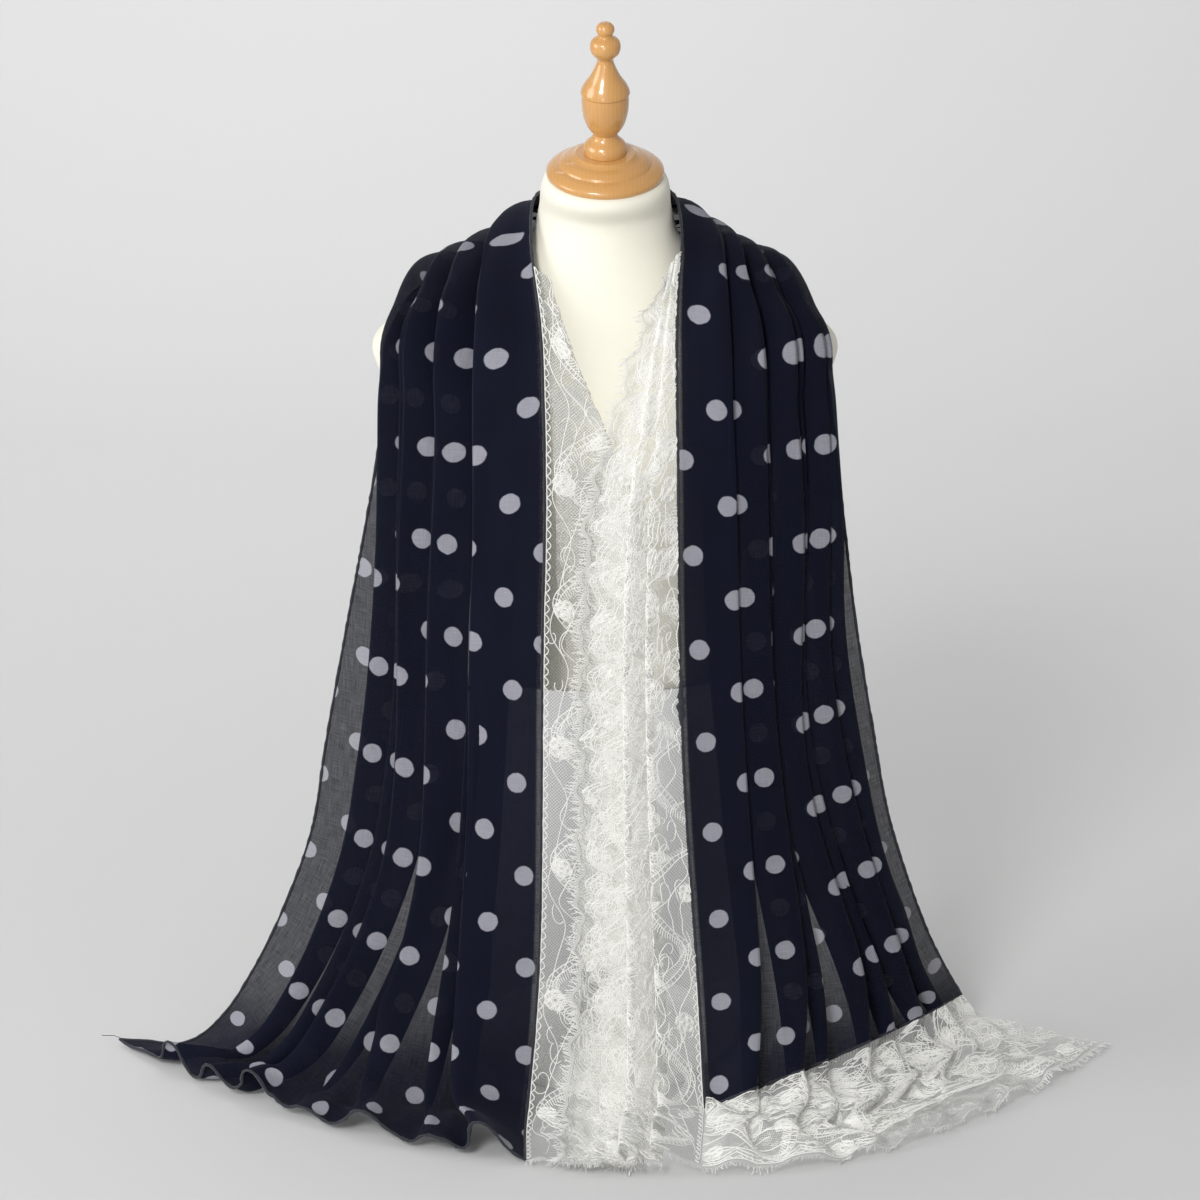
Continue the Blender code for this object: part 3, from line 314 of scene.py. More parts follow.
# ---- lace motifs: place in the repeat, size and turn. Across runs from the seam to the eyelash edge ----
Flower = namedtuple("Flower", "across along radius petals turn")
FLOWERS = table(
    Flower,
    (0.104, 0.026, 0.021, 6, 10), (0.134, 0.078, 0.018, 6, 40), (0.092, 0.122, 0.022, 5, 75),
    (0.136, 0.158, 0.018, 6, 20), (0.100, 0.192, 0.017, 6, 50), (0.146, 0.026, 0.012, 5, 0),
    (0.062, 0.058, 0.015, 5, 30), (0.064, 0.176, 0.016, 6, 55), (0.018, 0.128, 0.009, 5, 15),
    (0.016, 0.020, 0.010, 5, 65), (0.148, 0.116, 0.011, 5, 45), (0.074, 0.094, 0.011, 5, 25),
    (0.074, 0.222, 0.012, 5, 5), (0.120, 0.052, 0.010, 5, 70), (0.142, 0.204, 0.014, 6, 35),
    (0.118, 0.222, 0.011, 5, 60),
)
Leaf = namedtuple("Leaf", "across along length width turn")
LEAVES = table(
    Leaf,
    (0.076, 0.044, 0.018, 0.008, 75), (0.078, 0.012, 0.018, 0.007, 160), (0.128, 0.046, 0.018, 0.007, 300),
    (0.118, 0.058, 0.016, 0.006, 120), (0.106, 0.070, 0.018, 0.007, 60), (0.150, 0.056, 0.016, 0.006, 20),
    (0.152, 0.098, 0.016, 0.007, 70), (0.112, 0.098, 0.018, 0.007, 200), (0.116, 0.112, 0.018, 0.008, 20),
    (0.124, 0.134, 0.018, 0.007, 40), (0.120, 0.160, 0.016, 0.006, 330), (0.100, 0.160, 0.018, 0.007, 110),
    (0.154, 0.180, 0.016, 0.006, 95), (0.156, 0.218, 0.016, 0.006, 60), (0.112, 0.210, 0.018, 0.007, 250),
    (0.088, 0.206, 0.016, 0.006, 20), (0.048, 0.088, 0.016, 0.006, 130), (0.050, 0.204, 0.016, 0.006, 130),
    (0.054, 0.148, 0.016, 0.006, 235), (0.058, 0.012, 0.016, 0.006, 300),
)
Paisley = namedtuple("Paisley", "across along length width turn")
PAISLEYS = table(
    Paisley,
    (0.124, 0.096, 0.034, 0.019, 255), (0.084, 0.062, 0.030, 0.016, 60), (0.090, 0.172, 0.030, 0.016, 130),
    (0.034, 0.090, 0.028, 0.015, 20), (0.034, 0.212, 0.026, 0.014, 340), (0.150, 0.006, 0.028, 0.015, 140),
    (0.130, 0.186, 0.026, 0.014, 80),
)
# Curved stems with bars between their rails: middle place across, swing, turns in a repeat, start, and how
# long the feathered threads on their outer side are.
Stem = namedtuple("Stem", "across swing turns start feather")
STEMS = table(
    Stem,
    (0.034, 0.024, 2, 0.20, 0.0070), (0.094, 0.020, 2, 0.60, 0.0), (0.114, 0.026, 3, 0.35, 0.0045),
    (0.134, 0.012, 4, 0.15, 0.0050),
)
# Round patches of ring mesh: place and size.
Mesh = namedtuple("Mesh", "across along length width")
MESHES = table(
    Mesh,
    (0.070, 0.140, 0.026, 0.017), (0.120, 0.146, 0.022, 0.015), (0.124, 0.006, 0.024, 0.018),
    (0.090, 0.084, 0.022, 0.016), (0.150, 0.140, 0.022, 0.012), (0.060, 0.028, 0.020, 0.014),
    (0.108, 0.178, 0.020, 0.014),
)
# Loose curls of thread that fill the closely worked part: how many there are in a repeat, where they lie
# across, and their size.
CURLS = 115
CURLS_FROM, CURLS_TO = 0.006, 0.160
CURL_CROWDING = 0.72
CURL_SIZES = (0.0030, 0.0085)
CURL_STEPS = 12
# Long flowing threads: middle place across, swing, turns in a repeat and start.
Flow = namedtuple("Flow", "across swing turns start")
FLOWS = table(
    Flow,
    (0.014, 0.008, 2, 0.10), (0.026, 0.010, 3, 0.55), (0.048, 0.012, 2, 0.80), (0.064, 0.010, 3, 0.25),
    (0.080, 0.014, 2, 0.05), (0.100, 0.012, 4, 0.40), (0.118, 0.012, 2, 0.70), (0.134, 0.010, 3, 0.90),
    (0.148, 0.006, 4, 0.35),
)

# Small gathers in the cloth on the floor: turns per metre along their way and beside it, where each starts,
# and its share of the lift.
Gather = namedtuple("Gather", "along_way beside start share")
GATHERS = table(
    Gather,
    (38.0, 6.0, 0.10, 0.34), (61.0, -13.0, 0.55, 0.24), (22.0, 17.0, 0.30, 0.22), (90.0, 28.0, 0.80, 0.12),
    (-47.0, 45.0, 0.45, 0.08),
)
# Cloth lower than this gathers, fully so where it is lower still by the next height, and not beside a seam.
GATHERED_BELOW = 0.016
GATHERED_FULL = 0.008
SEAM_REACH = 0.025
# The way each cloth's gathers run on the floor, how high they rise and how closely they follow each other.
LACE_WAY = (0.98, 0.20)
LACE_LIFT = 0.0075
RUFFLE_WAY = (0.77, 0.64)
RUFFLE_LIFT = 0.0200
RUFFLE_SCALE = 0.62
CHIFFON_WAY = (0.45, 0.89)
CHIFFON_LIFT = 0.0120
CHIFFON_SCALE = 0.42
# The ruffle starts as the hem does, and its gathers change from the hem out: shares and amounts.
RUFFLE_START_GAP = 0.001
RUFFLE_SETTLED = 0.45
RUFFLE_AMOUNTS = ((0.0, 0.1, 0.5, 1.0), (0.0, 1.2, 0.6, 0.25))
RUFFLE_REST = 0.0009

# The rolled hem: the step between its points, its radius, how uneven it is, and one curl in the inner hem as
# a place along it, its half length and how many times thicker it gets. Last, the way of one loose thread.
HEM_STEP = 0.0045
HEM_RADIUS = 0.0013
HEM_UNEVENNESS = 0.28
HEM_CURL = (0.1880, 0.0062, 3.0)
LOOSE_THREAD = (-0.016, 0.001, 0.003)
LOOSE_RADIUS = 0.0003


# ---- curves ----
def smooth_values(knots, values, at):
    """Cubic values between the knots, with no corner at a knot and no overshoot in slope."""
    knots = np.array(knots, float)
    values = np.array(values, float).reshape(len(knots), -1)
    at = np.clip(np.array(at, float), knots[0], knots[-1])
    rise = np.diff(values, axis=0) / np.diff(knots)[:, None]
    slope = np.vstack([rise[:1], (rise[1:] + rise[:-1]) / 2, rise[-1:]])
    span = np.clip(np.searchsorted(knots, at, side="right") - 1, 0, len(knots) - 2)
    width = np.diff(knots)[span]
    t = ((at - knots[span]) / width)[:, None]
    width = width[:, None]
    start, end = values[span], values[span + 1]
    return ((2 * t**3 - 3 * t**2 + 1) * start + (t**3 - 2 * t**2 + t) * width * slope[span]
            + (3 * t**2 - 2 * t**3) * end + (t**3 - t**2) * width * slope[span + 1])


def smooth_path(points, per_span=PATH_STEPS):
    """A close polyline on a smooth curve through the points."""
    points = np.array(points, float)
    spans = np.linalg.norm(np.diff(points, axis=0), axis=1)
    knots = np.concatenate([[0.0], np.cumsum(spans)])
    at = np.interp(np.arange(len(spans) * per_span + 1) / per_span, np.arange(len(knots)), knots)
    return smooth_values(knots, points, at)


def scarf_path(points):
    """A long edge's curve. It crosses the middle of the back level, because the far half mirrors this one."""
    second = Point(-points[1].x, points[1].y, points[1].z)
    return smooth_path((second, *points))[PATH_STEPS:]


def run_along(points):
    """The distance travelled along a polyline, for each of its points. Works on the last axis but one."""
    steps = np.linalg.norm(np.diff(points, axis=-2), axis=-1)
    start = np.zeros((*steps.shape[:-1], 1))
    return np.concatenate([start, np.cumsum(steps, axis=-1)], axis=-1)


def along(path, shares):
    """Points at shares of the path's length."""
    run = run_along(path)
    return np.stack([np.interp(np.array(shares) * run[-1], run, path[:, k]) for k in range(path.shape[1])],
                    axis=-1)


def unit(vectors):
    return vectors / np.maximum(np.linalg.norm(vectors, axis=-1, keepdims=True), 1e-12)


def even(count):
    return np.linspace(0.0, 1.0, count)


# ---- the form's surface ----
FORM_LEVELS = 160
RING_HEIGHTS = [ring.height for ring in TORSO]
FORM_HEIGHTS = np.linspace(RING_HEIGHTS[0], RING_HEIGHTS[-1], FORM_LEVELS)
FORM_RINGS = smooth_values(RING_HEIGHTS, [ring[1:] for ring in TORSO], FORM_HEIGHTS)


def form_gap(points):
    """How far each point lies outside the form, measured level from the form's middle."""
    z = points[..., 2]
    half, front, back, power = (np.interp(z, FORM_HEIGHTS, FORM_RINGS[:, k]) for k in range(4))
    middle, depth = (front + back) / 2, (back - front) / 2
    x, y = np.abs(points[..., 0]), np.abs(points[..., 1] - middle)
    reach = ((x / half) ** power + (y / depth) ** power) ** (1 / power)
    gap = np.hypot(x, y) * (1 - 1 / np.maximum(reach, 0.05))
    return np.where((z > FORM_HEIGHTS[-1]) | (z < FORM_HEIGHTS[0] - 0.02), 1.0, gap)


def stand_off(points, facing, clearance):
    """Moves the points out along the facing until each clears the form, then evens out the moves."""
    moved = np.zeros(points.shape[:-1])
    for _ in range(14):
        short = clearance - form_gap(points + moved[..., None] * facing)
        moved = moved + np.clip(short, 0.0, 0.02)
    evened = moved.copy()
    for _ in range(2):
        evened[..., 1:-1] = (evened[..., :-2] + 2 * evened[..., 1:-1] + evened[..., 2:]) / 4
    return points + np.maximum(moved, evened)[..., None] * facing


# ---- folded cloth ----
def swing_of(ratio, lean):
    """The swing of a fold's direction that takes up its cloth: its span is this ratio of its length."""
    t = (np.arange(SWING_STEPS) + 0.5) / SWING_STEPS
    low, high = np.zeros_like(ratio), np.full_like(ratio, MOST_SWING)
    for _ in range(22):
        swing = (low + high) / 2
        angle = swing[..., None] * np.sin(2 * math.pi * t)
        span = np.cos(angle).mean(axis=-1)
        length = np.hypot(np.cos(angle) + lean[..., None] * np.sin(angle), np.sin(angle)).mean(axis=-1)
        slack = span / length > ratio
        low, high = np.where(slack, swing, low), np.where(slack, high, swing)
    return (low + high) / 2


def fold_shape(swing, samples):
    """Where the samples of one fold lie for each swing: along the span, as a share, and out from it."""
    t = np.linspace(0.0, 1.0, SWING_STEPS + 1)
    middle = (t[1:] + t[:-1]) / 2
    angle = swing[:, None] * np.sin(2 * math.pi * middle)
    run = np.cumsum(np.cos(angle), axis=1)
    out = np.cumsum(np.sin(angle), axis=1) / run[:, -1:]
    run = run / run[:, -1:]
    start = np.zeros((len(swing), 1))
    run, out = np.hstack([start, run]), np.hstack([start, out])
    return (np.array([np.interp(samples, t, row) for row in run]),
            np.array([np.interp(samples, t, row) for row in out]))


def cross_sections(span, lean, widths, shares, samples):
    """Along and out positions of the folded cloth, a row for each section. A last width is a plain stretch."""
    starts = np.hstack([np.zeros((len(span), 1)), np.cumsum(shares, axis=1)]) * span[:, None]
    rows_along, rows_out = [np.zeros((len(span), 1))], [np.zeros((len(span), 1))]
    for fold in range(widths.shape[1] - 1):
        room = starts[:, fold + 1] - starts[:, fold]
        middle_lean = lean * (1 - LEAN_FADE * (starts[:, fold] + room / 2) / span)
        ratio = np.minimum(room / widths[:, fold], 0.995)
        run, out = fold_shape(swing_of(ratio, middle_lean), samples)
        upright = starts[:, fold, None] + run * room[:, None]
        leaning = lean[:, None] * (1 - LEAN_FADE * upright / span[:, None])
        rows_out.append(out * room[:, None])
        rows_along.append(upright + leaning * rows_out[-1])
    rest = starts[:, -1] - starts[:, -2]
    for share in even(7)[1:]:
        rows_along.append((starts[:, -2] + share * rest)[:, None])
        rows_out.append(np.zeros((len(span), 1)))
    return np.hstack(rows_along), np.hstack(rows_out)


def hang_columns(hang, shares):
    """The hang table's columns at the shares."""
    values = smooth_values([row.share for row in hang], [row[1:] for row in hang], shares)
    facing, clearance, lean, bow, first, plain = np.split(values, [3, 4, 5, 6, 7], axis=1)
    return unit(facing), clearance[:, 0], lean[:, 0], bow[:, 0], first[:, 0], plain[:, 0]


def base_sheet(inner, outer, hang, shares, across):
    """The unfolded ground that the folds stand on, from the inner edge's curve (0) to the outer edge's (1)."""
    start, end = along(inner, shares), along(outer, shares)
    facing, clearance, lean, bow, first, plain = hang_columns(hang, shares)
    chord = end - start
    level = unit(chord)
    facing = unit(facing - (facing * level).sum(axis=1, keepdims=True) * level)
    ground = start[:, None] + across[None, :, None] * chord[:, None]
    ground[..., 1] -= (4 * across * (1 - across))[None] * bow[:, None]
    ground = stand_off(ground, facing[:, None], clearance[:, None])
    return ground, facing, level, np.linalg.norm(chord, axis=1), lean, first, plain


def swayed(spans, shares, sway):
    """The fold spans with a slow wander down the cloth, each row still filling its whole span."""
    turns = np.array([row.turns for row in SWAYS])
    phase = shares[:, None] * turns[None] + np.array([row.start for row in SWAYS])[None]
    amount = np.array([row.amount for row in SWAYS])[None] * sway[:, None]
    wandered = spans * (1 + amount * np.sin(2 * math.pi * phase))
    return wandered / wandered.sum(axis=1, keepdims=True)


def panel_points(inner, outer, hang, folds, shares, sway, flat=0.0):
    """A grid of points on the folded cloth: a row for each share, from the inner edge out.

    Flat is how much lower the folds get towards the last row."""
    shares = np.array(shares)
    across = even(ACROSS_STEPS)
    ground, facing, level, span, lean, first, plain = base_sheet(inner, outer, hang, shares, across)
    widths = np.array([*folds, 1 - sum(folds)])[None] * CHIFFON_WIDTH * np.ones((len(shares), 1))
    rest = (1 - first - plain)[:, None] * (np.array(folds[1:]) / sum(folds[1:]))[None]
    spans = swayed(np.hstack([first[:, None], rest, plain[:, None]]), shares, sway)
    along_span, out = cross_sections(span, lean, widths, spans, even(FOLD_STEPS + 1)[1:])
    out = out * (1 - flat * shares[:, None])
    share_across = along_span / span[:, None]
    inside = np.clip(share_across, 0.0, 1.0)
    points = np.stack([
        np.stack([np.interp(row, across, ground[k, :, axis]) for axis in range(3)], axis=-1)
        for k, row in enumerate(inside)])
    beyond = (share_across - inside) * span[:, None]
    return points + beyond[..., None] * level[:, None] + out[..., None] * facing[:, None]


def on_floor(points, rest=FLOOR_REST):
    points[..., 2] = np.maximum(points[..., 2], rest)
    return points


def grid_normals(points):
    """Unit normals of a grid of points."""
    down = np.gradient(points, axis=0)
    across = np.gradient(points, axis=1)
    return unit(np.cross(across, down))


def pressed(points, places, creases, length):
    """The grid with its creases pressed in along its normals."""
    depth = np.zeros(points.shape[:2])
    for crease in creases:
        turn = math.radians(crease.turn)
        x, y = places[..., 0] - crease.across, places[..., 1] - crease.along * length
        run = x * math.sin(turn) + y * math.cos(turn)
        side = x * math.cos(turn) - y * math.sin(turn)
        depth += crease.depth * np.exp(-(run / crease.length * 2) ** 2 - (side / crease.width) ** 2)
    return points - depth[..., None] * grid_normals(points)


def gathered(points, way, lift, scale=1.0, from_seam=True):
    """The grid with small gathers where it lies on the floor. They fade out towards the seam."""
    x, y = points[..., 0], points[..., 1]
    run, beside = x * way[0] + y * way[1], y * way[0] - x * way[1]
    rise = np.zeros_like(x)
    for row in GATHERS:
        turn = scale * (row.along_way * run + row.beside * beside) + row.start
        rise += row.share * (0.5 + 0.5 * np.sin(2 * math.pi * turn))
    low = np.clip((GATHERED_BELOW - points[..., 2]) / GATHERED_FULL, 0.0, 1.0)
    if from_seam:
        low *= np.clip(np.abs(x - x[:, :1]) / SEAM_REACH, 0.0, 1.0)
    raised = points.copy()
    raised[..., 2] += lift * low * rise
    return raised


def cloth_places(points, width, length):
    """Where each grid point lies on the flat cloth, in metres: across from the inner edge, and along."""
    across = run_along(points)
    across = across / across[:, -1:] * width
    down = run_along(np.swapaxes(points, 0, 1)).T
    down = down / down[-1:] * length
    return np.stack([across, down], axis=-1)


# ---- lace surfaces ----
def edging_facing(shares):
    columns = [[row.face_x, row.face_y, row.face_z] for row in EDGING_FACING]
    return unit(smooth_values([row.share for row in EDGING_FACING], columns, shares))


def edging_left(seam, shares):
    """The left edging: a front layer from the seam to its fold, and a layer turned back under it."""
    fold = along(smooth_path(LACE_FOLD_LEFT), (shares - shares[0]) / (1 - shares[0]))
    reach = fold - seam
    facing = edging_facing(shares)
    wide = np.linalg.norm(reach, axis=1)
    under = np.minimum(LACE_WIDTH - wide, MOST_UNDER * wide) / wide
    layers = []
    for share in even(FRONT_ROWS + 1)[:-1]:
        height = EDGING_WAVE * math.sin(2 * WAVE_TURNS * math.pi * share)
        wave = height * np.minimum(wide / WAVE_FULL_WIDTH, 1.0)
        layers.append(seam + share * reach + wave[:, None] * facing)
    for turn in np.radians(TURN_ANGLES):
        layers.append(fold + (EDGING_BULGE * math.sin(turn)) * unit(reach)
                      - (0.5 - 0.5 * math.cos(turn)) * EDGING_TURN * facing)
    for share in even(UNDER_ROWS + 1)[1:]:
        layers.append(fold - (share * under)[:, None] * reach - EDGING_TURN * facing)
    points = np.stack(layers, axis=1)
    points[:, 0] += EDGING_GAP * unit(reach)
    points = stand_off(points, facing[:, None], LEFT_CLEARANCE)
    return on_floor(points)


def edging_right(seam, shares):
    """The right edging: two soft folds, then a plain stretch to its eyelash edge."""
    edge = along(smooth_path(LACE_EDGE_RIGHT), (shares - shares[0]) / (1 - shares[0]))
    reach = edge - seam
    span = np.linalg.norm(reach, axis=1)
    level = unit(reach)
    facing = edging_facing(shares)
    facing = unit(facing - (facing * level).sum(axis=1, keepdims=True) * level)
    lean = np.full(len(span), EDGING_LEAN)
    slack = 1 + (LACE_WIDTH / EDGING_FULL_SPAN - 1) * np.minimum(span / EDGING_FULL_SPAN, 1.0) ** 2
    spans = np.array([EDGING_SPANS]) * np.ones((len(span), 1))
    run, out = cross_sections(span, lean, spans * (span * slack)[:, None], spans, even(FOLD_STEPS + 1)[1:])
    run = EDGING_GAP + run * (1 - EDGING_GAP / span[:, None])
    points = seam[:, None] + run[..., None] * level[:, None] + out[..., None] * facing[:, None]
    points = stand_off(points, facing[:, None], RIGHT_CLEARANCE)
    return on_floor(points)


# A strip of lace as it lies: its surface at even steps across and along, the part of its width that shows
# at each step along, and its length.
Laid = namedtuple("Laid", "points normals shown_from shown_to length")
LAID_COLUMNS = 110
LAID_ROWS = 400


def laid_lace(points, side, from_edge=False):
    """The lace's surface at even steps, so that a motif can be laid on it.

    Where less than the whole width shows, the part next to the seam is what shows, or with from_edge
    the part next to the eyelash edge. Side is 1 if the grid's normals face out, or else -1."""
    across = run_along(points)
    hidden = np.maximum(LACE_WIDTH - across[:, -1], 0.0) if from_edge else np.zeros(len(points))
    across = across + hidden[:, None]
    steps = np.linspace(0.0, LACE_WIDTH, LAID_COLUMNS)
    rows = np.stack([np.stack([np.interp(steps, across[k], row[:, axis]) for axis in range(3)], axis=-1)
                     for k, row in enumerate(points)])
    down = run_along(points[:, -1] if from_edge else points[:, 0])
    levels = np.linspace(0.0, down[-1], LAID_ROWS)
    whole = np.interp(levels, down, np.arange(len(down)))
    first = np.minimum(whole.astype(int), len(down) - 2)
    part = (whole - first)[:, None, None]
    rows = (1 - part) * rows[first] + part * rows[first + 1]
    shown_from, shown_to = (np.interp(levels, down, edge) for edge in (across[:, 0], across[:, -1]))
    return Laid(rows, side * grid_normals(rows), shown_from, shown_to, down[-1])


def place(lace, places, lift):
    """Points on the lace at places across and along it, raised off it by lift."""
    rows, columns = lace.points.shape[:2]
    x = np.clip(places[..., 0] / LACE_WIDTH, 0, 1) * (columns - 1)
    y = np.clip(places[..., 1] / lace.length, 0, 1) * (rows - 1)
    i, j = np.minimum(y.astype(int), rows - 2), np.minimum(x.astype(int), columns - 2)
    t, s = (y - i)[..., None], (x - j)[..., None]
    point, normal = (
        (1 - t) * ((1 - s) * grid[i, j] + s * grid[i, j + 1])
        + t * ((1 - s) * grid[i + 1, j] + s * grid[i + 1, j + 1])
        for grid in (lace.points, lace.normals))
    return point + lift * unit(normal), unit(normal)


# ---- lace motifs, as lines on the flat lace ----
CORD_STEPS = 16
RING_PITCH = 0.0036
RING_STEPS = 9
BAR_STEPS = 3
BAR_PITCH = 0.0052
STEM_GAP = 0.0048


def turned(outline, across, along_lace, degrees):
    """An outline turned about its own origin and moved to its place."""
    angle = math.radians(degrees)
    cos, sin = math.cos(angle), math.sin(angle)
    x, y = outline[:, 0], outline[:, 1]
    return np.stack([across + x * cos - y * sin, along_lace + x * sin + y * cos], axis=1)


def resampled(outline, count=CORD_STEPS):
    return along(np.asarray(outline, float), even(count))


def circle(radius, count=CORD_STEPS):
    angle = 2 * math.pi * even(count)
    return np.stack([radius * np.cos(angle), radius * np.sin(angle)], axis=1)


def petal_outline(length, width):
    """A broad petal from its root at the origin, with a shallow notch at its tip."""
    t = even(49)
    angle = math.pi * t
    reach = length * (0.12 + 0.88 * np.sin(angle) ** 0.75) * (1 - 0.07 * np.exp(-((t - 0.5) / 0.07) ** 2))
    side = width / 2 * -np.cos(angle) * (0.25 + 0.75 * np.sin(angle) ** 0.5)
    outline = np.stack([reach, side * 1.25], axis=1)
    return resampled(np.vstack([outline, outline[:1]]))


def leaf_outline(length, width):
    t = even(25)
    side = width / 2 * np.sin(math.pi * t ** 0.85)
    upper = np.stack([t * length, side], axis=1)
    lower = np.stack([t[::-1] * length, -side[::-1]], axis=1)
    return resampled(np.vstack([upper, lower]))


def paisley_outline(length, width):
    """A drop whose point curls to one side."""
    t = even(49)
    angle = 2 * math.pi * t
    reach = length / 2 * (1 - np.cos(angle))
    side = width / 2 * np.sin(angle) * (np.sin(angle / 2) ** 0.8)
    curl = 0.22 * length * (1 - reach / length) ** 2.2
    return resampled(np.stack([reach, side + curl], axis=1))


# A petal's inner line, as a share of its outline.
INNER_OUTLINE = 0.62


def flower_lines(flower):
    """A flower's petal outlines, its eye and its stamens."""
    petals, lines = [], []
    for k in range(flower.petals):
        turn = flower.turn + 360 * k / flower.petals
        width = 1.9 * flower.radius * math.sin(math.pi / flower.petals)
        outline = petal_outline(0.80 * flower.radius, width) + np.array([[0.20 * flower.radius, 0.0]])
        petals.append(turned(outline, flower.across, flower.along, turn))
        middle = outline.mean(axis=0)
        lines.append(turned(middle + INNER_OUTLINE * (outline - middle), flower.across, flower.along, turn))
    lines.append(circle(0.19 * flower.radius) + np.array([[flower.across, flower.along]]))
    return petals, lines


def leaf_lines(leaf):
    outline = turned(leaf_outline(leaf.length, leaf.width), leaf.across, leaf.along, leaf.turn)
    rib = np.stack([np.linspace(0.0, 0.9, CORD_STEPS) * leaf.length, np.zeros(CORD_STEPS)], axis=1)
    lines = [turned(rib, leaf.across, leaf.along, leaf.turn)]
    return [outline], lines


def paisley_lines(paisley):
    """A paisley's outer and inner outlines and the rings inside it."""
    lines = []
    for shrink in (1.0, 0.80):
        outline = paisley_outline(paisley.length, paisley.width)
        middle = np.array([[0.55 * paisley.length, 0.03 * paisley.length]])
        lines.append(turned(middle + shrink * (outline - middle), paisley.across, paisley.along, paisley.turn))
    middle = turned(np.array([[0.56 * paisley.length, 0.04 * paisley.length]]), paisley.across, paisley.along,
                    paisley.turn)[0]
    turn = math.radians(paisley.turn)
    long_way = 0.62 * paisley.length * abs(math.sin(turn)) + 0.62 * paisley.width * abs(math.cos(turn))
    wide_way = 0.62 * paisley.length * abs(math.cos(turn)) + 0.62 * paisley.width * abs(math.sin(turn))
    return lines, ring_mesh(Mesh(middle[0], middle[1], long_way, wide_way))


def ring_mesh(mesh):
    """Small touching rings that fill an oval."""
    rings = []
    reach = int(max(mesh.length, mesh.width) / RING_PITCH) // 2 + 1
    for row in range(-reach, reach + 1):
        for column in range(-reach, reach + 1):
            x, y = (column + 0.5 * (row % 2)) * RING_PITCH, row * 0.87 * RING_PITCH
            if math.hypot(2 * x / mesh.width, 2 * y / mesh.length) < 1:
                rings.append(circle(RING_PITCH / 2, RING_STEPS) + np.array([[mesh.across + x, mesh.along + y]]))
    return rings


def stem_lines(stem, length, repeat):
    """Two rails that swing along the lace with bars between them, and feathered threads beside them."""
    count = int(length / BAR_PITCH)
    along_lace = np.linspace(0.0, length, count)
    phase = 2 * math.pi * (along_lace / repeat * stem.turns + stem.start)
    middle = np.stack([stem.across + stem.swing * np.sin(phase), along_lace], axis=1)
    run = run_along(middle)
    middle = along(middle, even(int(run[-1] / BAR_PITCH)))
    side = np.gradient(middle, axis=0)
    side = unit(np.stack([side[:, 1], -side[:, 0]], axis=1))
    left, right = middle - STEM_GAP / 2 * side, middle + STEM_GAP / 2 * side
    bars = list(crosswise(left, right))
    rails = []
    for rail in (left, right):
        for start in range(0, len(middle) - 1, 8):
            rails.append(resampled(rail[start:start + 9]))
    if stem.feather:
        fine = along(right, even(2 * len(right)))
        way = np.gradient(fine, axis=0)
        away = unit(np.stack([way[:, 1], -way[:, 0]], axis=1) + 0.35 * way)
        bars += list(crosswise(fine, fine + stem.feather * away))
    return rails, bars


def crosswise(starts, ends):
    """Short straight lines from each start to its end."""
    return starts[:, None] + even(BAR_STEPS)[None, :, None] * (ends - starts)[:, None]


# The border's scallops: one's length and depth, and how far they lie in from the eyelash edge. Then the
# length of one by the seam.
SCALLOP_PITCH = 0.0288
SCALLOP_DEPTH = 0.0070
SCALLOP_INSET = 0.003
SCALLOP_LIFTS = (0.0015, 0.0062)
SEAM_SCALLOP_PITCH = 0.0092


def border_lines(length):
    """The scalloped border by the eyelash edge: two rows of scallops with bars, and a row of rings."""
    pitch = SCALLOP_PITCH
    rails, bars, rings = [], [], []
    for k in range(int(length / pitch)):
        start = k * pitch
        for lift in SCALLOP_LIFTS:
            t = even(CORD_STEPS)
            across = LACE_WIDTH - lift - SCALLOP_INSET - SCALLOP_DEPTH + SCALLOP_DEPTH * np.sin(math.pi * t)
            rails.append(np.stack([across, start + t * pitch], axis=1))
        for share in even(7)[:-1]:
            valley = LACE_WIDTH - SCALLOP_LIFTS[0] - SCALLOP_INSET - SCALLOP_DEPTH
            edge = valley + SCALLOP_DEPTH * math.sin(math.pi * share)
            ends = np.linspace(edge, edge - 0.0047, BAR_STEPS)
            bars.append(np.stack([ends, np.full(BAR_STEPS, start + share * pitch)], axis=1))
        for share in (0.25, 0.5, 0.75):
            centre = (LACE_WIDTH - 0.021 + 0.005 * math.sin(math.pi * share), start + share * pitch)
            rings.append(circle(0.0021, RING_STEPS) + np.array([centre]))
    return rails, bars, rings


def seam_border(length):
    """Small scallops and a straight cord beside the seam."""
    pitch = SEAM_SCALLOP_PITCH
    cords = [resampled(np.array([[0.0012, start], [0.0015, start + 0.03], [0.0012, start + 0.06]]))
             for start in np.arange(0.0, length, 0.06)]
    for k in range(int(length / pitch)):
        t = even(CORD_STEPS)
        cords.append(np.stack([0.0014 + 0.0036 * np.sin(math.pi * t), (k + t) * pitch], axis=1))
    return cords


def curl_lines(length, repeat, spread):
    """Loose curls of thread, each one most of a turn and tighter at its end."""
    lines = []
    for _ in range(int(CURLS * length / repeat)):
        share = spread.uniform(0.0, 1.0) ** CURL_CROWDING
        middle = (CURLS_FROM + share * (CURLS_TO - CURLS_FROM), spread.uniform(0.0, length))
        turns = spread.uniform(0.45, 0.95) * 2 * math.pi * spread.choice((-1.0, 1.0))
        angle = spread.uniform(0.0, 2 * math.pi) + turns * even(CURL_STEPS)
        radius = spread.uniform(*CURL_SIZES) * np.linspace(1.5, 0.6, CURL_STEPS)
        x, y = middle[0] + radius * np.cos(angle), middle[1] + 1.5 * radius * np.sin(angle)
        lines.append(np.stack([x, y], axis=1))
    return lines


Drawing = namedtuple("Drawing", "petals cords curls rings bars")
LACE_REPEAT = 0.23
FLOW_LENGTH = 0.032


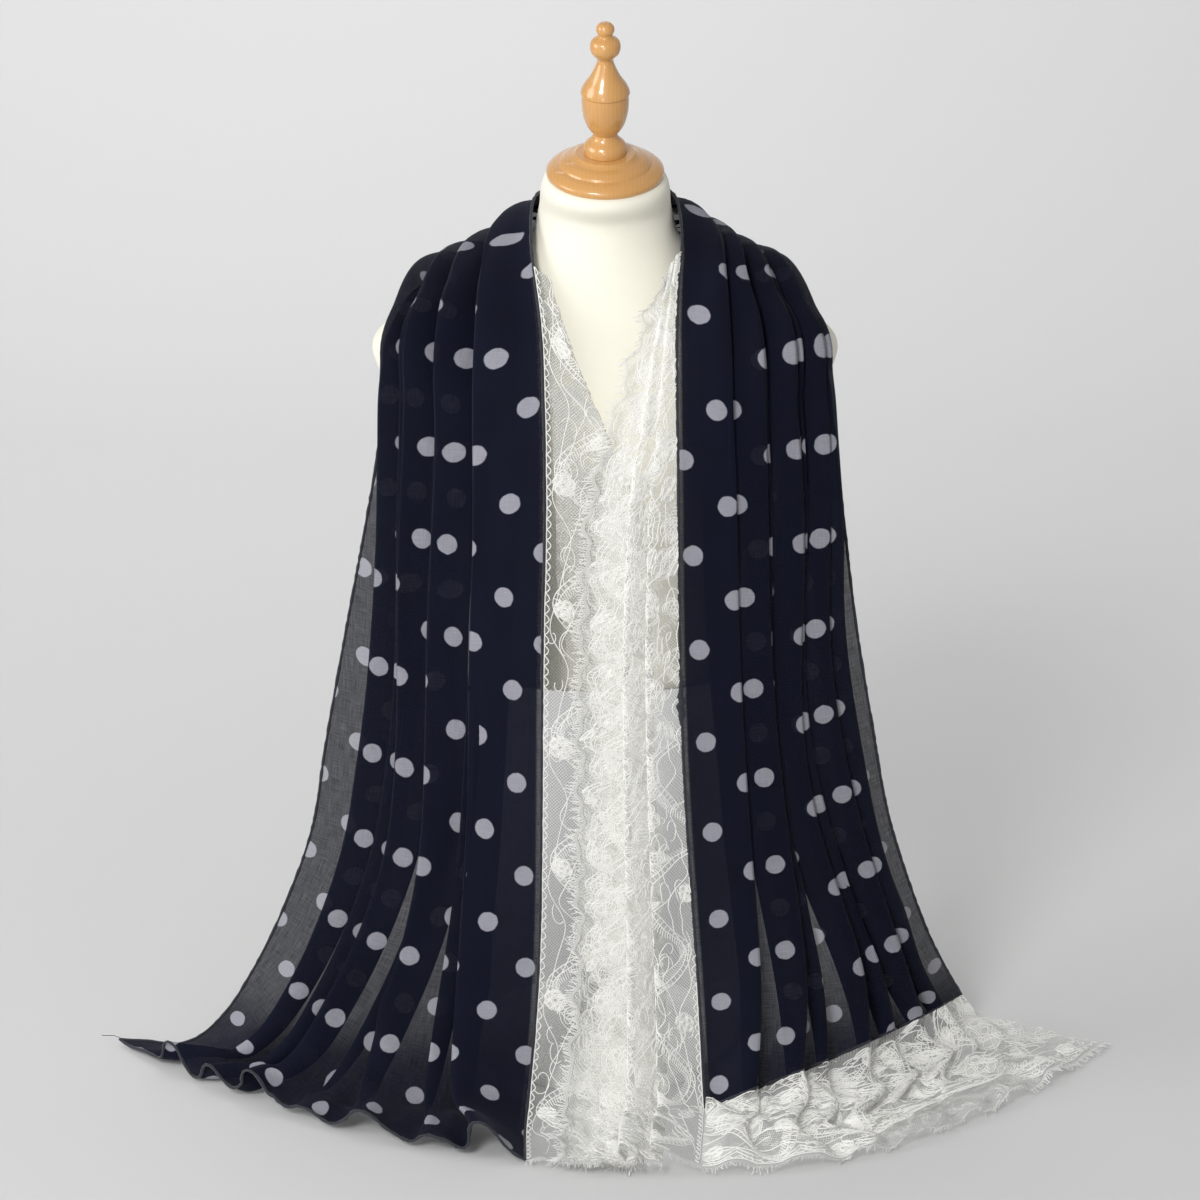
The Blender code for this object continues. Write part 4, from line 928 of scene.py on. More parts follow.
def draw_lace(lace, start, mirrored=False):
    """Every motif of a strip of lace. Start shifts the repeat. Mirrored puts the close work by the seam."""
    length, repeat = lace.length, LACE_REPEAT
    petals, cords, rings, bars = [], [], [], []
    spread = np.random.default_rng(11)
    for k in range(-1, int(length / repeat) + 2):
        shift = k * repeat - start
        for flower in FLOWERS:
            size = flower.radius * spread.uniform(0.94, 1.05)
            turn = flower.turn + spread.uniform(-8, 8)
            outlines, lines = flower_lines(flower._replace(along=flower.along + shift, radius=size, turn=turn))
            petals += outlines
            cords += outlines + lines
        for leaf in LEAVES:
            turn = leaf.turn + spread.uniform(-7, 7)
            outlines, lines = leaf_lines(leaf._replace(along=leaf.along + shift, turn=turn))
            petals += outlines
            cords += outlines + lines
        for paisley in PAISLEYS:
            lines, inside = paisley_lines(paisley._replace(along=paisley.along + shift))
            cords += lines
            rings += inside
        for mesh in MESHES:
            rings += ring_mesh(mesh._replace(along=mesh.along + shift))
    for stem in STEMS:
        rails, steps = stem_lines(stem, length, repeat)
        cords += rails
        bars += steps
    cords += seam_border(length)
    curls = curl_lines(length, repeat, spread)
    for flow in FLOWS:
        for flow_start in np.arange(0.0, length, FLOW_LENGTH):
            y = flow_start + FLOW_LENGTH * even(CURL_STEPS)
            phase = 2 * math.pi * (y / repeat * flow.turns + flow.start)
            curls.append(np.stack([flow.across + flow.swing * np.sin(phase + 0.6 * np.sin(phase)), y], axis=1))
    if mirrored:
        petals, cords, curls, rings, bars = (
            [line * np.array([-1.0, 1.0]) + np.array([LACE_WIDTH, 0.0]) for line in lines]
            for lines in (petals, cords, curls, rings, bars))
    rails, steps, inside = border_lines(length)
    cords += rails
    bars += steps
    rings += inside
    kept = [inside_lace(lines, lace) for lines in (petals, cords, curls, rings, bars)]
    return Drawing(*kept)


def inside_lace(lines, lace):
    """The lines that lie mostly on the part of the lace that shows, each held to its bounds."""
    lines = np.array(lines)
    levels = np.linspace(0.0, lace.length, LAID_ROWS)
    middle = lines.mean(axis=1)
    low = np.interp(middle[:, 1], levels, lace.shown_from)
    high = np.interp(middle[:, 1], levels, lace.shown_to)
    kept = ((middle[:, 0] > low + 0.001) & (middle[:, 0] < high - 0.001)
            & (middle[:, 1] > 0.002) & (middle[:, 1] < lace.length - 0.002))
    low, high = (edge[kept, None] for edge in (low, high))
    lines = lines[kept]
    lines[..., 0] = np.clip(lines[..., 0], low + 0.0003, high - 0.0003)
    lines[..., 1] = np.clip(lines[..., 1], 0.0003, lace.length - 0.0003)
    return lines


# ---- meshes ----
def grid_object(name, points, places, look, strip=0, printed=None):
    """A sheet through a grid of points, whose UV map holds places in metres.

    With strip, the columns part into separate bands of that many. Printed gives a second map, for a print."""
    rows, columns = points.shape[:2]
    bm = bmesh.new()
    bmesh.ops.create_grid(bm, x_segments=columns - 1, y_segments=rows - 1, size=0.5)
    if strip:
        bridges = [face for face in bm.faces
                   if int((face.calc_center_median().x + 0.5) * (columns - 1)) % strip == strip - 1]
        bmesh.ops.delete(bm, geom=bridges, context="FACES")
    mesh = bpy.data.meshes.new(name)
    bm.to_mesh(mesh)
    bm.free()
    flat = np.zeros(len(mesh.vertices) * 3, np.float32)
    mesh.vertices.foreach_get("co", flat)
    column = np.rint((flat[0::3] + 0.5) * (columns - 1)).astype(int)
    row = np.rint((flat[1::3] + 0.5) * (rows - 1)).astype(int)
    mesh.vertices.foreach_set("co", points[row, column].astype(np.float32).ravel())
    corners = np.zeros(len(mesh.loops), np.int32)
    mesh.loops.foreach_get("vertex_index", corners)
    for map_name, values in (("cloth", places), ("print", printed)):
        if values is not None:
            layer = mesh.uv_layers.new(name=map_name)
            layer.uv.foreach_set("vector", values[row, column][corners].astype(np.float32).ravel())
    mesh.update()
    mesh.shade_smooth()
    mesh.materials.append(look)
    return link(name, mesh)


def link(name, data):
    """A new object in the scene for its mesh, curve, light or camera."""
    obj = bpy.data.objects.new(name, data)
    bpy.context.scene.collection.objects.link(obj)
    return obj


def cords_on(name, centre, normal, width, height, look):
    """Raised cords along lines of points: a low ridge, wide as given, that lies on what carries it."""
    tangent = unit(np.gradient(centre, axis=1))
    side = unit(np.cross(tangent, normal))
    half = (np.broadcast_to(width, centre.shape[:2]) / 2)[..., None]
    rails = np.stack([centre - half * side, centre + height * normal, centre + half * side], axis=2)
    lines, steps = centre.shape[:2]
    points = np.swapaxes(rails, 1, 2).reshape(lines * 3, steps, 3).swapaxes(0, 1)
    run = run_along(centre)
    places = np.stack([np.repeat(run, 3, axis=0).T,
                       np.tile(np.array([-0.5, 0.0, 0.5]), lines)[None].repeat(steps, axis=0) * 0.001], axis=-1)
    return grid_object(name, points, places, look, strip=3)


def petals_on(name, lace, outlines, lift, look):
    """Clothwork patches inside the outlines."""
    shares = np.array([0.04, 0.55, 1.0])
    middle = outlines.mean(axis=1, keepdims=True)
    flat = middle[:, None] + shares[None, :, None, None] * (outlines - middle)[:, None]
    points, _ = place(lace, flat, lift)
    count, rings, steps = flat.shape[:3]
    grid = points.reshape(count * rings, steps, 3).swapaxes(0, 1)
    places = flat.reshape(count * rings, steps, 2).swapaxes(0, 1)
    return grid_object(name, grid, places, look, strip=rings)


def rolled_edge(name, path, radius, look, unevenness=0.0, bulges=()):
    """A round thread or rolled hem along a path, with closed ends.

    Each bulge is a place along the path as a share, its half length and how many times thicker it gets."""
    curve = bpy.data.curves.new(name, "CURVE")
    curve.dimensions = "3D"
    curve.bevel_depth = radius
    curve.bevel_resolution = 2
    curve.use_fill_caps = True
    path = along(path, even(int(run_along(path)[-1] / HEM_STEP) + 4))
    share = even(len(path))
    thick = 1 + unevenness * np.random.default_rng(3).uniform(-1.0, 1.0, len(path))
    for middle, reach, times in bulges:
        near = np.exp(-((share - middle) / reach) ** 2)
        thick += (times - 1) * near
        path = path + (near * 0.0016 * np.sin(share / reach * 7.0))[:, None] * np.array([1.0, -0.6, 0.0])
    spline = curve.splines.new("POLY")
    spline.points.add(len(path) - 1)
    spline.points.foreach_set("co", np.hstack([path, np.ones((len(path), 1))]).ravel())
    spline.points.foreach_set("radius", thick)
    curve.materials.append(look)
    return link(name, curve)


def fine_profile(profile, per_span=5):
    """The profile with a smooth curve from each crisp point to the next."""
    fine, run = [], []
    for turn in profile:
        run.append((turn.radius, turn.height))
        if turn.crisp or turn is profile[-1]:
            if len(run) > 1:
                fine += [tuple(point) for point in smooth_path(run, per_span)[1 if fine else 0:]]
            run = [run[-1]]
    return fine


def turned_object(name, profile, centre, tilt, look, sides=96):
    """A turned piece on an axis that passes through the centre and leans forward by tilt."""
    bm = bmesh.new()
    corners = [bm.verts.new((radius, 0.0, height)) for radius, height in fine_profile(profile)]
    edges = [bm.edges.new(pair) for pair in zip(corners, corners[1:])]
    bmesh.ops.spin(bm, geom=corners + edges, cent=(0, 0, 0), axis=(0, 0, 1), angle=2 * math.pi,
                   steps=sides, use_merge=True)
    bmesh.ops.remove_doubles(bm, verts=bm.verts, dist=0.00002)
    bmesh.ops.holes_fill(bm, edges=[edge for edge in bm.edges if edge.is_boundary])
    cos, sin = math.cos(math.radians(tilt)), math.sin(math.radians(tilt))
    for vert in bm.verts:
        x, y, z = vert.co
        vert.co = (centre[0] + x, centre[1] + y * cos - z * sin, centre[2] + y * sin + z * cos)
    return solid_object(name, bm, look)


def solid_object(name, bm, look, angle=28):
    bmesh.ops.recalc_face_normals(bm, faces=bm.faces)
    mesh = bpy.data.meshes.new(name)
    bm.to_mesh(mesh)
    bm.free()
    mesh.materials.append(look)
    mesh.shade_smooth()
    mesh.set_sharp_from_angle(angle=math.radians(angle))
    return link(name, mesh)


def torso_object(name, look, sides=128):
    """The limbless form as rounded rings from its lower edge to its sloping neck."""
    bm = bmesh.new()
    angle = 2 * math.pi * np.arange(sides) / sides
    loops = []
    for height, row in zip(FORM_HEIGHTS, FORM_RINGS):
        half, front, back, power, tilt = row
        depth = (back - front) / 2
        x = half * np.sign(np.cos(angle)) * np.abs(np.cos(angle)) ** (2 / power)
        y = depth * np.sign(np.sin(angle)) * np.abs(np.sin(angle)) ** (2 / power)
        z = height + math.tan(math.radians(tilt)) * y
        verts = [bm.verts.new(point) for point in zip(x, (front + back) / 2 + y, z)]
        loops.append([bm.edges.new((verts[k - 1], verts[k])) for k in range(sides)])
    for lower, upper in zip(loops, loops[1:]):
        bmesh.ops.bridge_loops(bm, edges=lower + upper)
    bmesh.ops.holes_fill(bm, edges=[edge for edge in bm.edges if edge.is_boundary])
    return solid_object(name, bm, look, angle=45)


# ---- the scarf's own surfaces ----
MIDDLE_SHARE = 0.07
NAPE_SHARE = 0.075
SWAY_FROM, SWAY_TO = 0.22, 0.42


def half_points(inner, outer, hang, folds, shares):
    sway = np.clip((np.array(shares) - SWAY_FROM) / (SWAY_TO - SWAY_FROM), 0, 1)
    return on_floor(panel_points(scarf_path(inner), scarf_path(outer), hang, folds, shares, sway))


def scarf_halves(shares):
    """The left and right halves' points, which agree at the middle of the back."""
    left = half_points(INNER_LEFT, OUTER_LEFT, HANG_LEFT, FOLDS_LEFT, shares)
    right = half_points(INNER_RIGHT, OUTER_RIGHT, HANG_RIGHT, FOLDS_RIGHT, shares)
    share = np.array(shares)
    if share[0] == 0.0:
        middle = (left[0] + right[0]) / 2
        fade = (np.clip(1 - share / MIDDLE_SHARE, 0, 1) ** 2)[:, None, None]
        left, right = left + fade * (middle - left[0]), right + fade * (middle - right[0])
    return left, right


def half_length(points):
    return float(np.median(run_along(np.swapaxes(points, 0, 1))[:, -1]))


def whole_scarf():
    """One grid for the whole chiffon, from the right end over the nape to the left end, and its places."""
    left, right = scarf_halves(even(HALF_ROWS))
    sheets = []
    for points, creases in ((left, CREASES_LEFT), (right, CREASES_RIGHT)):
        length = half_length(points)
        places = cloth_places(points, CHIFFON_WIDTH, length)
        points = on_floor(pressed(points, places, creases, length))
        sheets.append((gathered(points, CHIFFON_WAY, CHIFFON_LIFT, CHIFFON_SCALE), places))
    (left, left_places), (right, right_places) = sheets
    points = np.concatenate([right[:0:-1], left])
    right_places[..., 1] *= -1
    places = np.concatenate([right_places[:0:-1], left_places])
    return points, places


def ruffle_grid():
    """The end ruffle's points, from the right hem out to its eyelash edge."""
    shares = even(RUFFLE_FINE_ROWS)
    hem = half_points(INNER_RIGHT, OUTER_RIGHT, HANG_RIGHT, FOLDS_RIGHT, np.array([0.992, 1.0]))
    points = panel_points(smooth_path(RUFFLE_INNER), smooth_path(RUFFLE_OUTER), HANG_RUFFLE, FOLDS_RIGHT,
                          shares, np.ones(len(shares)), flat=RUFFLE_FLAT)
    start = hem[1] + unit(hem[1] - hem[0]) * RUFFLE_START_GAP
    settle = np.clip(1 - shares / RUFFLE_SETTLED, 0.0, 1.0)[:, None, None] ** 2
    points = points + settle * (start - points[0])[None]
    rise = gathered(points, RUFFLE_WAY, RUFFLE_LIFT, RUFFLE_SCALE, from_seam=False) - points
    amount = np.interp(shares, *RUFFLE_AMOUNTS)
    return on_floor(points + amount[:, None, None] * rise, RUFFLE_REST)


def left_edging_grid():
    shares = np.linspace(FRONT_SHARE, 1.0, LACE_ROWS)
    left, _ = scarf_halves(shares)
    return gathered(edging_left(left[:, 0], shares), LACE_WAY, LACE_LIFT)


def right_edging_grid():
    """The right edging's points: beside the chiffon down to its hem, then on over the floor."""
    shares = np.linspace(FRONT_SHARE, 1.0, LACE_ROWS)
    _, right = scarf_halves(shares)
    floor = even(FLOOR_ROWS)
    seam = np.concatenate([right[:, 0], along(smooth_path(SEAM_FLOOR_RIGHT), floor)])
    points = edging_right(seam, np.concatenate([HEM_SHARE * shares, FLOOR_SHARE + FLOOR_SPAN * floor]))
    run = run_along(points[:, -1])
    wander = sum(reach * np.sin(2 * math.pi * run / length) for reach, length in EDGE_WANDERS)
    points[..., 0] += wander[:, None] * even(points.shape[1])[None] ** WANDER_FADE
    return gathered(points, LACE_WAY, LACE_LIFT)


def nape_grid():
    """The nape's edging: turned down under the chiffon, against the neck."""
    left, right = scarf_halves(np.linspace(0.0, NAPE_SHARE, NAPE_ROWS))
    back = np.concatenate([left[::-1], right[1:]])
    seam = back[:, 0]
    down = unit(back[:, -1] - seam)
    facing = unit(seam * np.array([1.0, 1.0, 0.0]))
    layers = [seam - EDGING_GAP * down]
    for up, back_by in NAPE_LIP:
        layers.append(seam - up * down - back_by * facing)
    for depth in np.linspace(*NAPE_DEPTHS, 8):
        layers.append(seam + depth * down - NAPE_TURN * facing)
    return np.stack(layers, axis=1)


# ---- materials ----
def new_look(name):
    """A material with its shader, ready for nodes to be added."""
    look = bpy.data.materials.new(name)
    look.use_nodes = True
    tree = look.node_tree
    return look, tree, tree.nodes["Principled BSDF"]


def node(tree, kind, inputs=(), **settings):
    """A node with its settings and inputs. An input is a value, or the socket that feeds it."""
    made = tree.nodes.new(kind)
    for key, value in settings.items():
        setattr(made, key, value)
    for key, value in dict(inputs).items():
        if isinstance(value, bpy.types.NodeSocket):
            tree.links.new(value, made.inputs[key])
        else:
            made.inputs[key].default_value = value
    return made


def set_inputs(shader, values):
    for key, value in values.items():
        shader.inputs[key].default_value = value


def maths(tree, operation, *values):
    return node(tree, "ShaderNodeMath", dict(enumerate(values)), operation=operation).outputs[0]


def vector_maths(tree, operation, *values):
    made = node(tree, "ShaderNodeVectorMath", dict(enumerate(values)), operation=operation)
    return made.outputs["Value" if operation == "LENGTH" else "Vector"]


def mixed(tree, share, first, second):
    made = node(tree, "ShaderNodeMix", {0: share, 6: first, 7: second}, data_type="RGBA")
    return made.outputs[2]


def ramp(tree, value, low, high, start=0.0, end=1.0):
    made = node(tree, "ShaderNodeMapRange", {"Value": value, "From Min": low, "From Max": high,
                                             "To Min": start, "To Max": end}, interpolation_type="SMOOTHSTEP")
    return made.outputs["Result"]


def noise(tree, coordinates, scale, detail=3.0, roughness=0.5):
    made = node(tree, "ShaderNodeTexNoise", {"Vector": coordinates, "Scale": scale, "Detail": detail,
                                             "Roughness": roughness})
    return made.outputs["Fac"]


def bump(tree, shader, height, strength, distance):
    made = node(tree, "ShaderNodeBump", {"Height": height, "Strength": strength, "Distance": distance})
    tree.links.new(made.outputs["Normal"], shader.inputs["Normal"])


def object_places(tree):
    return node(tree, "ShaderNodeTexCoord").outputs["Object"]


def cloth_uv(tree):
    return node(tree, "ShaderNodeUVMap", uv_map="cloth").outputs["UV"]


def dot_distance(tree, uv, shift, spacing, pitch):
    """How far a place lies from the nearest dot of a lattice, in metres."""
    moved = vector_maths(tree, "ADD", uv, (*shift, 0.0))
    cell = vector_maths(tree, "FRACTION", vector_maths(tree, "DIVIDE", moved, (spacing, pitch, 1.0)))
    middle = (-spacing / 2, -pitch / 2, 0.0)
    from_middle = vector_maths(tree, "MULTIPLY_ADD", cell, (spacing, pitch, 0.0), middle)
    return vector_maths(tree, "LENGTH", from_middle)


def chiffon_look(settings):
    """Sheer navy voile with pale dots in a half-drop lattice."""
    look, tree, shader = new_look("navy_chiffon")
    spacing, pitch = settings.dot_spacing, settings.dot_pitch
    uv = node(tree, "ShaderNodeUVMap", uv_map="print").outputs["UV"]
    wobble = node(tree, "ShaderNodeTexNoise", {"Vector": uv, "Scale": 160.0, "Detail": 2.0})
    shaken = vector_maths(tree, "MULTIPLY_ADD", wobble.outputs["Color"], (0.0016, 0.0016, 0.0),
                          vector_maths(tree, "ADD", uv, (-0.0008, -0.0008, 0.0)))
    first = dot_distance(tree, shaken, (0.0, 0.0), spacing, pitch)
    second = dot_distance(tree, shaken, (spacing / 2, pitch / 2), spacing, pitch)
    distance = maths(tree, "MINIMUM", first, second)
    radius = settings.dot_diameter / 2
    dot = ramp(tree, distance, radius + 0.0006, radius - 0.0006)
    weft = noise(tree, vector_maths(tree, "MULTIPLY", uv, (70.0, 1100.0, 0.0)), 1.0, 2.0)
    warp = noise(tree, vector_maths(tree, "MULTIPLY", uv, (1100.0, 50.0, 0.0)), 1.0, 2.0)
    grain = maths(tree, "MULTIPLY", maths(tree, "ADD", weft, warp), 0.5)
    cloud = noise(tree, object_places(tree), 26.0, 4.0)
    ground = mixed(tree, cloud, (0.0014, 0.0022, 0.0085, 1.0), (0.0028, 0.0042, 0.0150, 1.0))
    print_tint = mixed(tree, grain, (0.19, 0.19, 0.225, 1.0), (0.36, 0.36, 0.405, 1.0))
    tree.links.new(mixed(tree, dot, ground, print_tint), shader.inputs["Base Color"])
    across = node(tree, "ShaderNodeSeparateXYZ", {0: cloth_uv(tree)}).outputs["X"]
    inner = maths(tree, "MULTIPLY", ramp(tree, across, 0.003, 0.006), ramp(tree, across, 0.13, 0.09))
    height = node(tree, "ShaderNodeSeparateXYZ", {0: object_places(tree)}).outputs["Z"]
    inner = maths(tree, "MAXIMUM", inner, maths(tree, "MULTIPLY", ramp(tree, height, 0.085, 0.030), 0.75))
    thread = maths(tree, "MULTIPLY_ADD", grain, 0.44, settings.chiffon_cover - 0.22)
    thicker = maths(tree, "MULTIPLY", inner, maths(tree, "SUBTRACT", 1.0, thread))
    cover = maths(tree, "MULTIPLY_ADD", thicker, 0.93, thread)
    tree.links.new(cover, shader.inputs["Alpha"])
    set_inputs(shader, {"Roughness": 0.85, "Specular IOR Level": 0.14, "Sheen Weight": 0.045,
                        "Sheen Roughness": 0.45, "Sheen Tint": (0.55, 0.60, 0.80, 1.0)})
    crinkle = noise(tree, object_places(tree), 190.0, 4.0, 0.6)
    bump(tree, shader, crinkle, 0.35, 0.0012)
    return look


def hem_look():
    """The chiffon's rolled hem, where several layers lie together."""
    look, tree, shader = new_look("navy_hem")
    grain = noise(tree, object_places(tree), 700.0, 2.0)
    tree.links.new(mixed(tree, grain, (0.006, 0.007, 0.012, 1.0), (0.018, 0.020, 0.032, 1.0)),
                   shader.inputs["Base Color"])
    set_inputs(shader, {"Roughness": 0.8, "Sheen Weight": 0.2})
    bump(tree, shader, grain, 0.4, 0.0004)
    return look


def lace_shader(name, tint=None):
    """Matt white thread. Without a tint, the caller gives the colour."""
    look, tree, shader = new_look(name)
    if tint:
        cloud = noise(tree, object_places(tree), 34.0, 3.0)
        darker = (tint[0] * 0.93, tint[1] * 0.93, tint[2] * 0.94, 1.0)
        tree.links.new(mixed(tree, cloud, darker, (*tint, 1.0)), shader.inputs["Base Color"])
    set_inputs(shader, {"Roughness": 0.7, "Specular IOR Level": 0.3, "Sheen Weight": 0.15})
    return look, tree, shader


def net_look(settings):
    """The lace's ground: a diamond net, with closely stitched patches away from the seam. Its open net by the
    seam is painted dark grey: painted shade.
    """
    look, tree, shader = lace_shader("lace_net")
    uv = cloth_uv(tree)
    parts = node(tree, "ShaderNodeSeparateXYZ", {0: uv})
    along_lace, across = parts.outputs["Y"], parts.outputs["X"]
    cell = settings.net_cell
    strands = []
    for operation in ("ADD", "SUBTRACT"):
        slanted = maths(tree, "DIVIDE", maths(tree, operation, along_lace, across), cell * math.sqrt(2))
        wave = maths(tree, "ABSOLUTE", maths(tree, "SUBTRACT", maths(tree, "FRACT", slanted), 0.5))
        strands.append(ramp(tree, wave, 0.36, 0.45))
    threads = maths(tree, "MAXIMUM", *strands)
    patches = ramp(tree, noise(tree, uv, 95.0, 2.0), 0.48, 0.56)
    stitches = noise(tree, vector_maths(tree, "MULTIPLY", uv, (900.0, 260.0, 0.0)), 1.0, 2.0)
    from_seam = ramp(tree, across, 0.030, 0.065)
    stitched = maths(tree, "MULTIPLY", patches, ramp(tree, stitches, 0.38, 0.60))
    worked = maths(tree, "MULTIPLY", stitched, from_seam)
    open_net = maths(tree, "MULTIPLY_ADD", threads, 0.80, 0.04)
    # Painted shade: beside the seam the open net is coloured dark grey. This stands for the shade on its round
    # threads and on the shaded space behind the lace. Away from the seam it fades to near white.
    tint = mixed(tree, from_seam, (0.27, 0.27, 0.255, 1.0), (0.74, 0.74, 0.70, 1.0))
    tree.links.new(tint, shader.inputs["Base Color"])
    cover = maths(tree, "MAXIMUM", open_net, maths(tree, "MULTIPLY", worked, 0.62))
    tree.links.new(cover, shader.inputs["Alpha"])
    bump(tree, shader, maths(tree, "MAXIMUM", threads, worked), 0.5, 0.0004)
    return look


def clothwork_look():
    """Closely worked lace, with fine rows of thread that let a little through."""
    look, tree, shader = lace_shader("lace_clothwork", (0.70, 0.695, 0.660))
    parts = node(tree, "ShaderNodeSeparateXYZ", {0: cloth_uv(tree)})
    rows = maths(tree, "SINE", maths(tree, "MULTIPLY", parts.outputs["Y"], 2 * math.pi / 0.0009))
    columns = maths(tree, "SINE", maths(tree, "MULTIPLY", parts.outputs["X"], 2 * math.pi / 0.0011))
    weave = maths(tree, "MULTIPLY", rows, columns)
    tree.links.new(ramp(tree, weave, -0.9, 0.4, 0.30, 0.85), shader.inputs["Alpha"])
    bump(tree, shader, weave, 0.4, 0.0003)
    return look


def cord_look():
    """The thicker cord that outlines each motif."""
    look, tree, shader = lace_shader("lace_cord", (0.80, 0.795, 0.758))
    twist = noise(tree, object_places(tree), 1600.0, 1.0)
    bump(tree, shader, twist, 0.4, 0.0003)
    return look


def jersey_look(settings):
    """Cream cotton jersey: fine knitted rows over a smooth body."""
    look, tree, shader = new_look("cream_jersey")
    where = object_places(tree)
    cloud = noise(tree, where, 9.0, 3.0)
    red, green, blue = settings.jersey_colour
    tree.links.new(mixed(tree, cloud, (red * 0.97, green * 0.97, blue * 0.96, 1.0), (red, green, blue, 1.0)),
                   shader.inputs["Base Color"])
    set_inputs(shader, {"Roughness": 0.85, "Specular IOR Level": 0.2, "Sheen Weight": 0.25})
    knit = noise(tree, vector_maths(tree, "MULTIPLY", where, (1.0, 1.0, 0.45)), 1300.0, 2.0)
    bump(tree, shader, knit, 0.25, 0.0004)
    return look


def wood_look(settings):
    """Varnished beech, with its grain running down the turning."""
    look, tree, shader = new_look("varnished_beech")
    where = vector_maths(tree, "MULTIPLY", object_places(tree), (1.0, 1.0, 0.10))
    bands = node(tree, "ShaderNodeTexWave", {"Vector": where, "Scale": 95.0, "Distortion": 5.0, "Detail": 3.0,
                                             "Detail Scale": 2.0}, wave_type="BANDS", bands_direction="X")
    flecks = noise(tree, where, 620.0, 3.0)
    red, green, blue = settings.wood_colour
    grain = maths(tree, "MULTIPLY_ADD", flecks, 0.5, maths(tree, "MULTIPLY", bands.outputs["Fac"], 0.5))
    tree.links.new(mixed(tree, grain, (red * 0.91, green * 0.87, blue * 0.80, 1.0), (red, green, blue, 1.0)),
                   shader.inputs["Base Color"])
    set_inputs(shader, {"Roughness": 0.35, "Coat Weight": 0.9, "Coat Roughness": 0.08})
    return look


def enamel_look():
    look, tree, shader = new_look("white_enamel")
    set_inputs(shader, {"Base Color": (0.80, 0.80, 0.78, 1.0), "Roughness": 0.3})
    bump(tree, shader, noise(tree, object_places(tree), 220.0, 2.0), 0.05, 0.0002)
    return look


def black_look():
    look, tree, shader = new_look("black_metal")
    set_inputs(shader, {"Base Color": (0.02, 0.02, 0.02, 1.0), "Roughness": 0.4, "Specular IOR Level": 0.4})
    bump(tree, shader, noise(tree, object_places(tree), 500.0, 2.0), 0.15, 0.0002)
    return look


def sweep_look():
    look, tree, shader = new_look("studio_sweep")
    set_inputs(shader, {"Base Color": (0.66, 0.66, 0.66, 1.0), "Roughness": 0.95, "Specular IOR Level": 0.1})
    return look


# ---- pieces ----
def settle_piece(obj, nodes=()):
    """Declares a finished piece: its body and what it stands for."""
    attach(obj, BODY)
    if nodes:
        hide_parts(*nodes)
    return obj


def facing_out(points, places, side):
    """The grid with its rows turned round if its normals would face in."""
    return (points, places) if side > 0 else (points[::-1], places[::-1])


# How far the work lies off the net.
WORK_LIFT = 0.0003


def lace_objects(name, grid, side, start, from_edge, settings, mirrored=False):
    """The lace's ground and everything worked on it. The ground comes first."""
    lace = laid_lace(grid, side, from_edge)
    drawing = draw_lace(lace, start, mirrored)
    across = run_along(grid)
    if from_edge:
        across = across + np.maximum(LACE_WIDTH - across[:, -1:], 0.0)
    down = run_along(np.swapaxes(grid, 0, 1)).T
    points, places = facing_out(grid, np.stack([across, down], axis=-1), side)
    ground = grid_object(name + "_net", points, places, net_look(settings))
    cord, clothwork = cord_look(), clothwork_look()
    pieces = [ground, petals_on(name + "_clothwork", lace, drawing.petals, WORK_LIFT, clothwork)]
    for part, lines, width, height in (("cords", drawing.cords, 0.00095, 0.0009),
                                       ("curls", drawing.curls, 0.00085, 0.0008),
                                       ("rings", drawing.rings, 0.00065, 0.0006),
                                       ("bars", drawing.bars, 0.00080, 0.0005)):
        centre, normal = place(lace, lines, WORK_LIFT)
        pieces.append(cords_on(name + "_" + part, centre, normal, width, height, cord))
    return pieces


def lash_lines(edge, outward, normal, settings):
    """Thread ends that stand out from an edge, each with its own small droop and slant."""
    spread = np.random.default_rng(5)
    run = run_along(edge)
    count = int(run[-1] / settings.lash_pitch)
    at = (np.arange(count) + 0.5) * settings.lash_pitch + spread.uniform(-0.0003, 0.0003, count)
    start, way, up = (np.stack([np.interp(at, run, rows[:, axis]) for axis in range(3)], axis=-1)
                      for rows in (edge, outward, normal))
    way, up = unit(way), unit(up)
    side = unit(np.cross(way, up))
    length = settings.lash_length * spread.uniform(0.55, 1.15, count)
    slant = spread.normal(0.0, 0.30, count)
    curl = spread.normal(0.0, 0.10, count)
    t = even(5)[None, :, None]
    reach = length[:, None, None]
    return (start[:, None] + t * reach * way[:, None] + t * slant[:, None, None] * reach * side[:, None]
            + t**2 * curl[:, None, None] * reach * up[:, None]), np.repeat(up[:, None], 5, axis=1)


# The fringe: its backing's gap from the lace and its width, where its threads start on it, their steps, how low
# they may lie, and their width and height.
LASH_GAP = 0.0008
BACKING_WIDTH = 0.003
LASH_ROOT = 0.0026
LASH_REST = 0.0006
LASH_THREAD = (0.0007, 0.0003)


def lash_objects(name, grid, side, settings):
    """The edge's narrow backing and its eyelash fringe."""
    edge = grid[:, -1]
    outward = unit(grid[:, -1] - grid[:, -2])
    normal = side * grid_normals(grid)[:, -1]
    near = edge + LASH_GAP * outward
    strip = np.stack([near, near + BACKING_WIDTH / 2 * outward, near + BACKING_WIDTH * outward], axis=1)
    places = np.stack([np.repeat(np.array([[0.0, BACKING_WIDTH / 2, BACKING_WIDTH]]), len(edge), axis=0),
                       np.repeat(run_along(edge)[:, None], 3, axis=1)], axis=-1)
    points, places = facing_out(strip, places, side)
    backing = grid_object(name + "_backing", points, places, clothwork_look())
    lines, up = lash_lines(near + LASH_ROOT * outward, outward, normal, settings)
    lines = on_floor(lines, LASH_REST)
    threads = cords_on(name + "_threads", lines, up, *LASH_THREAD, cord_look())
    return [backing, threads]


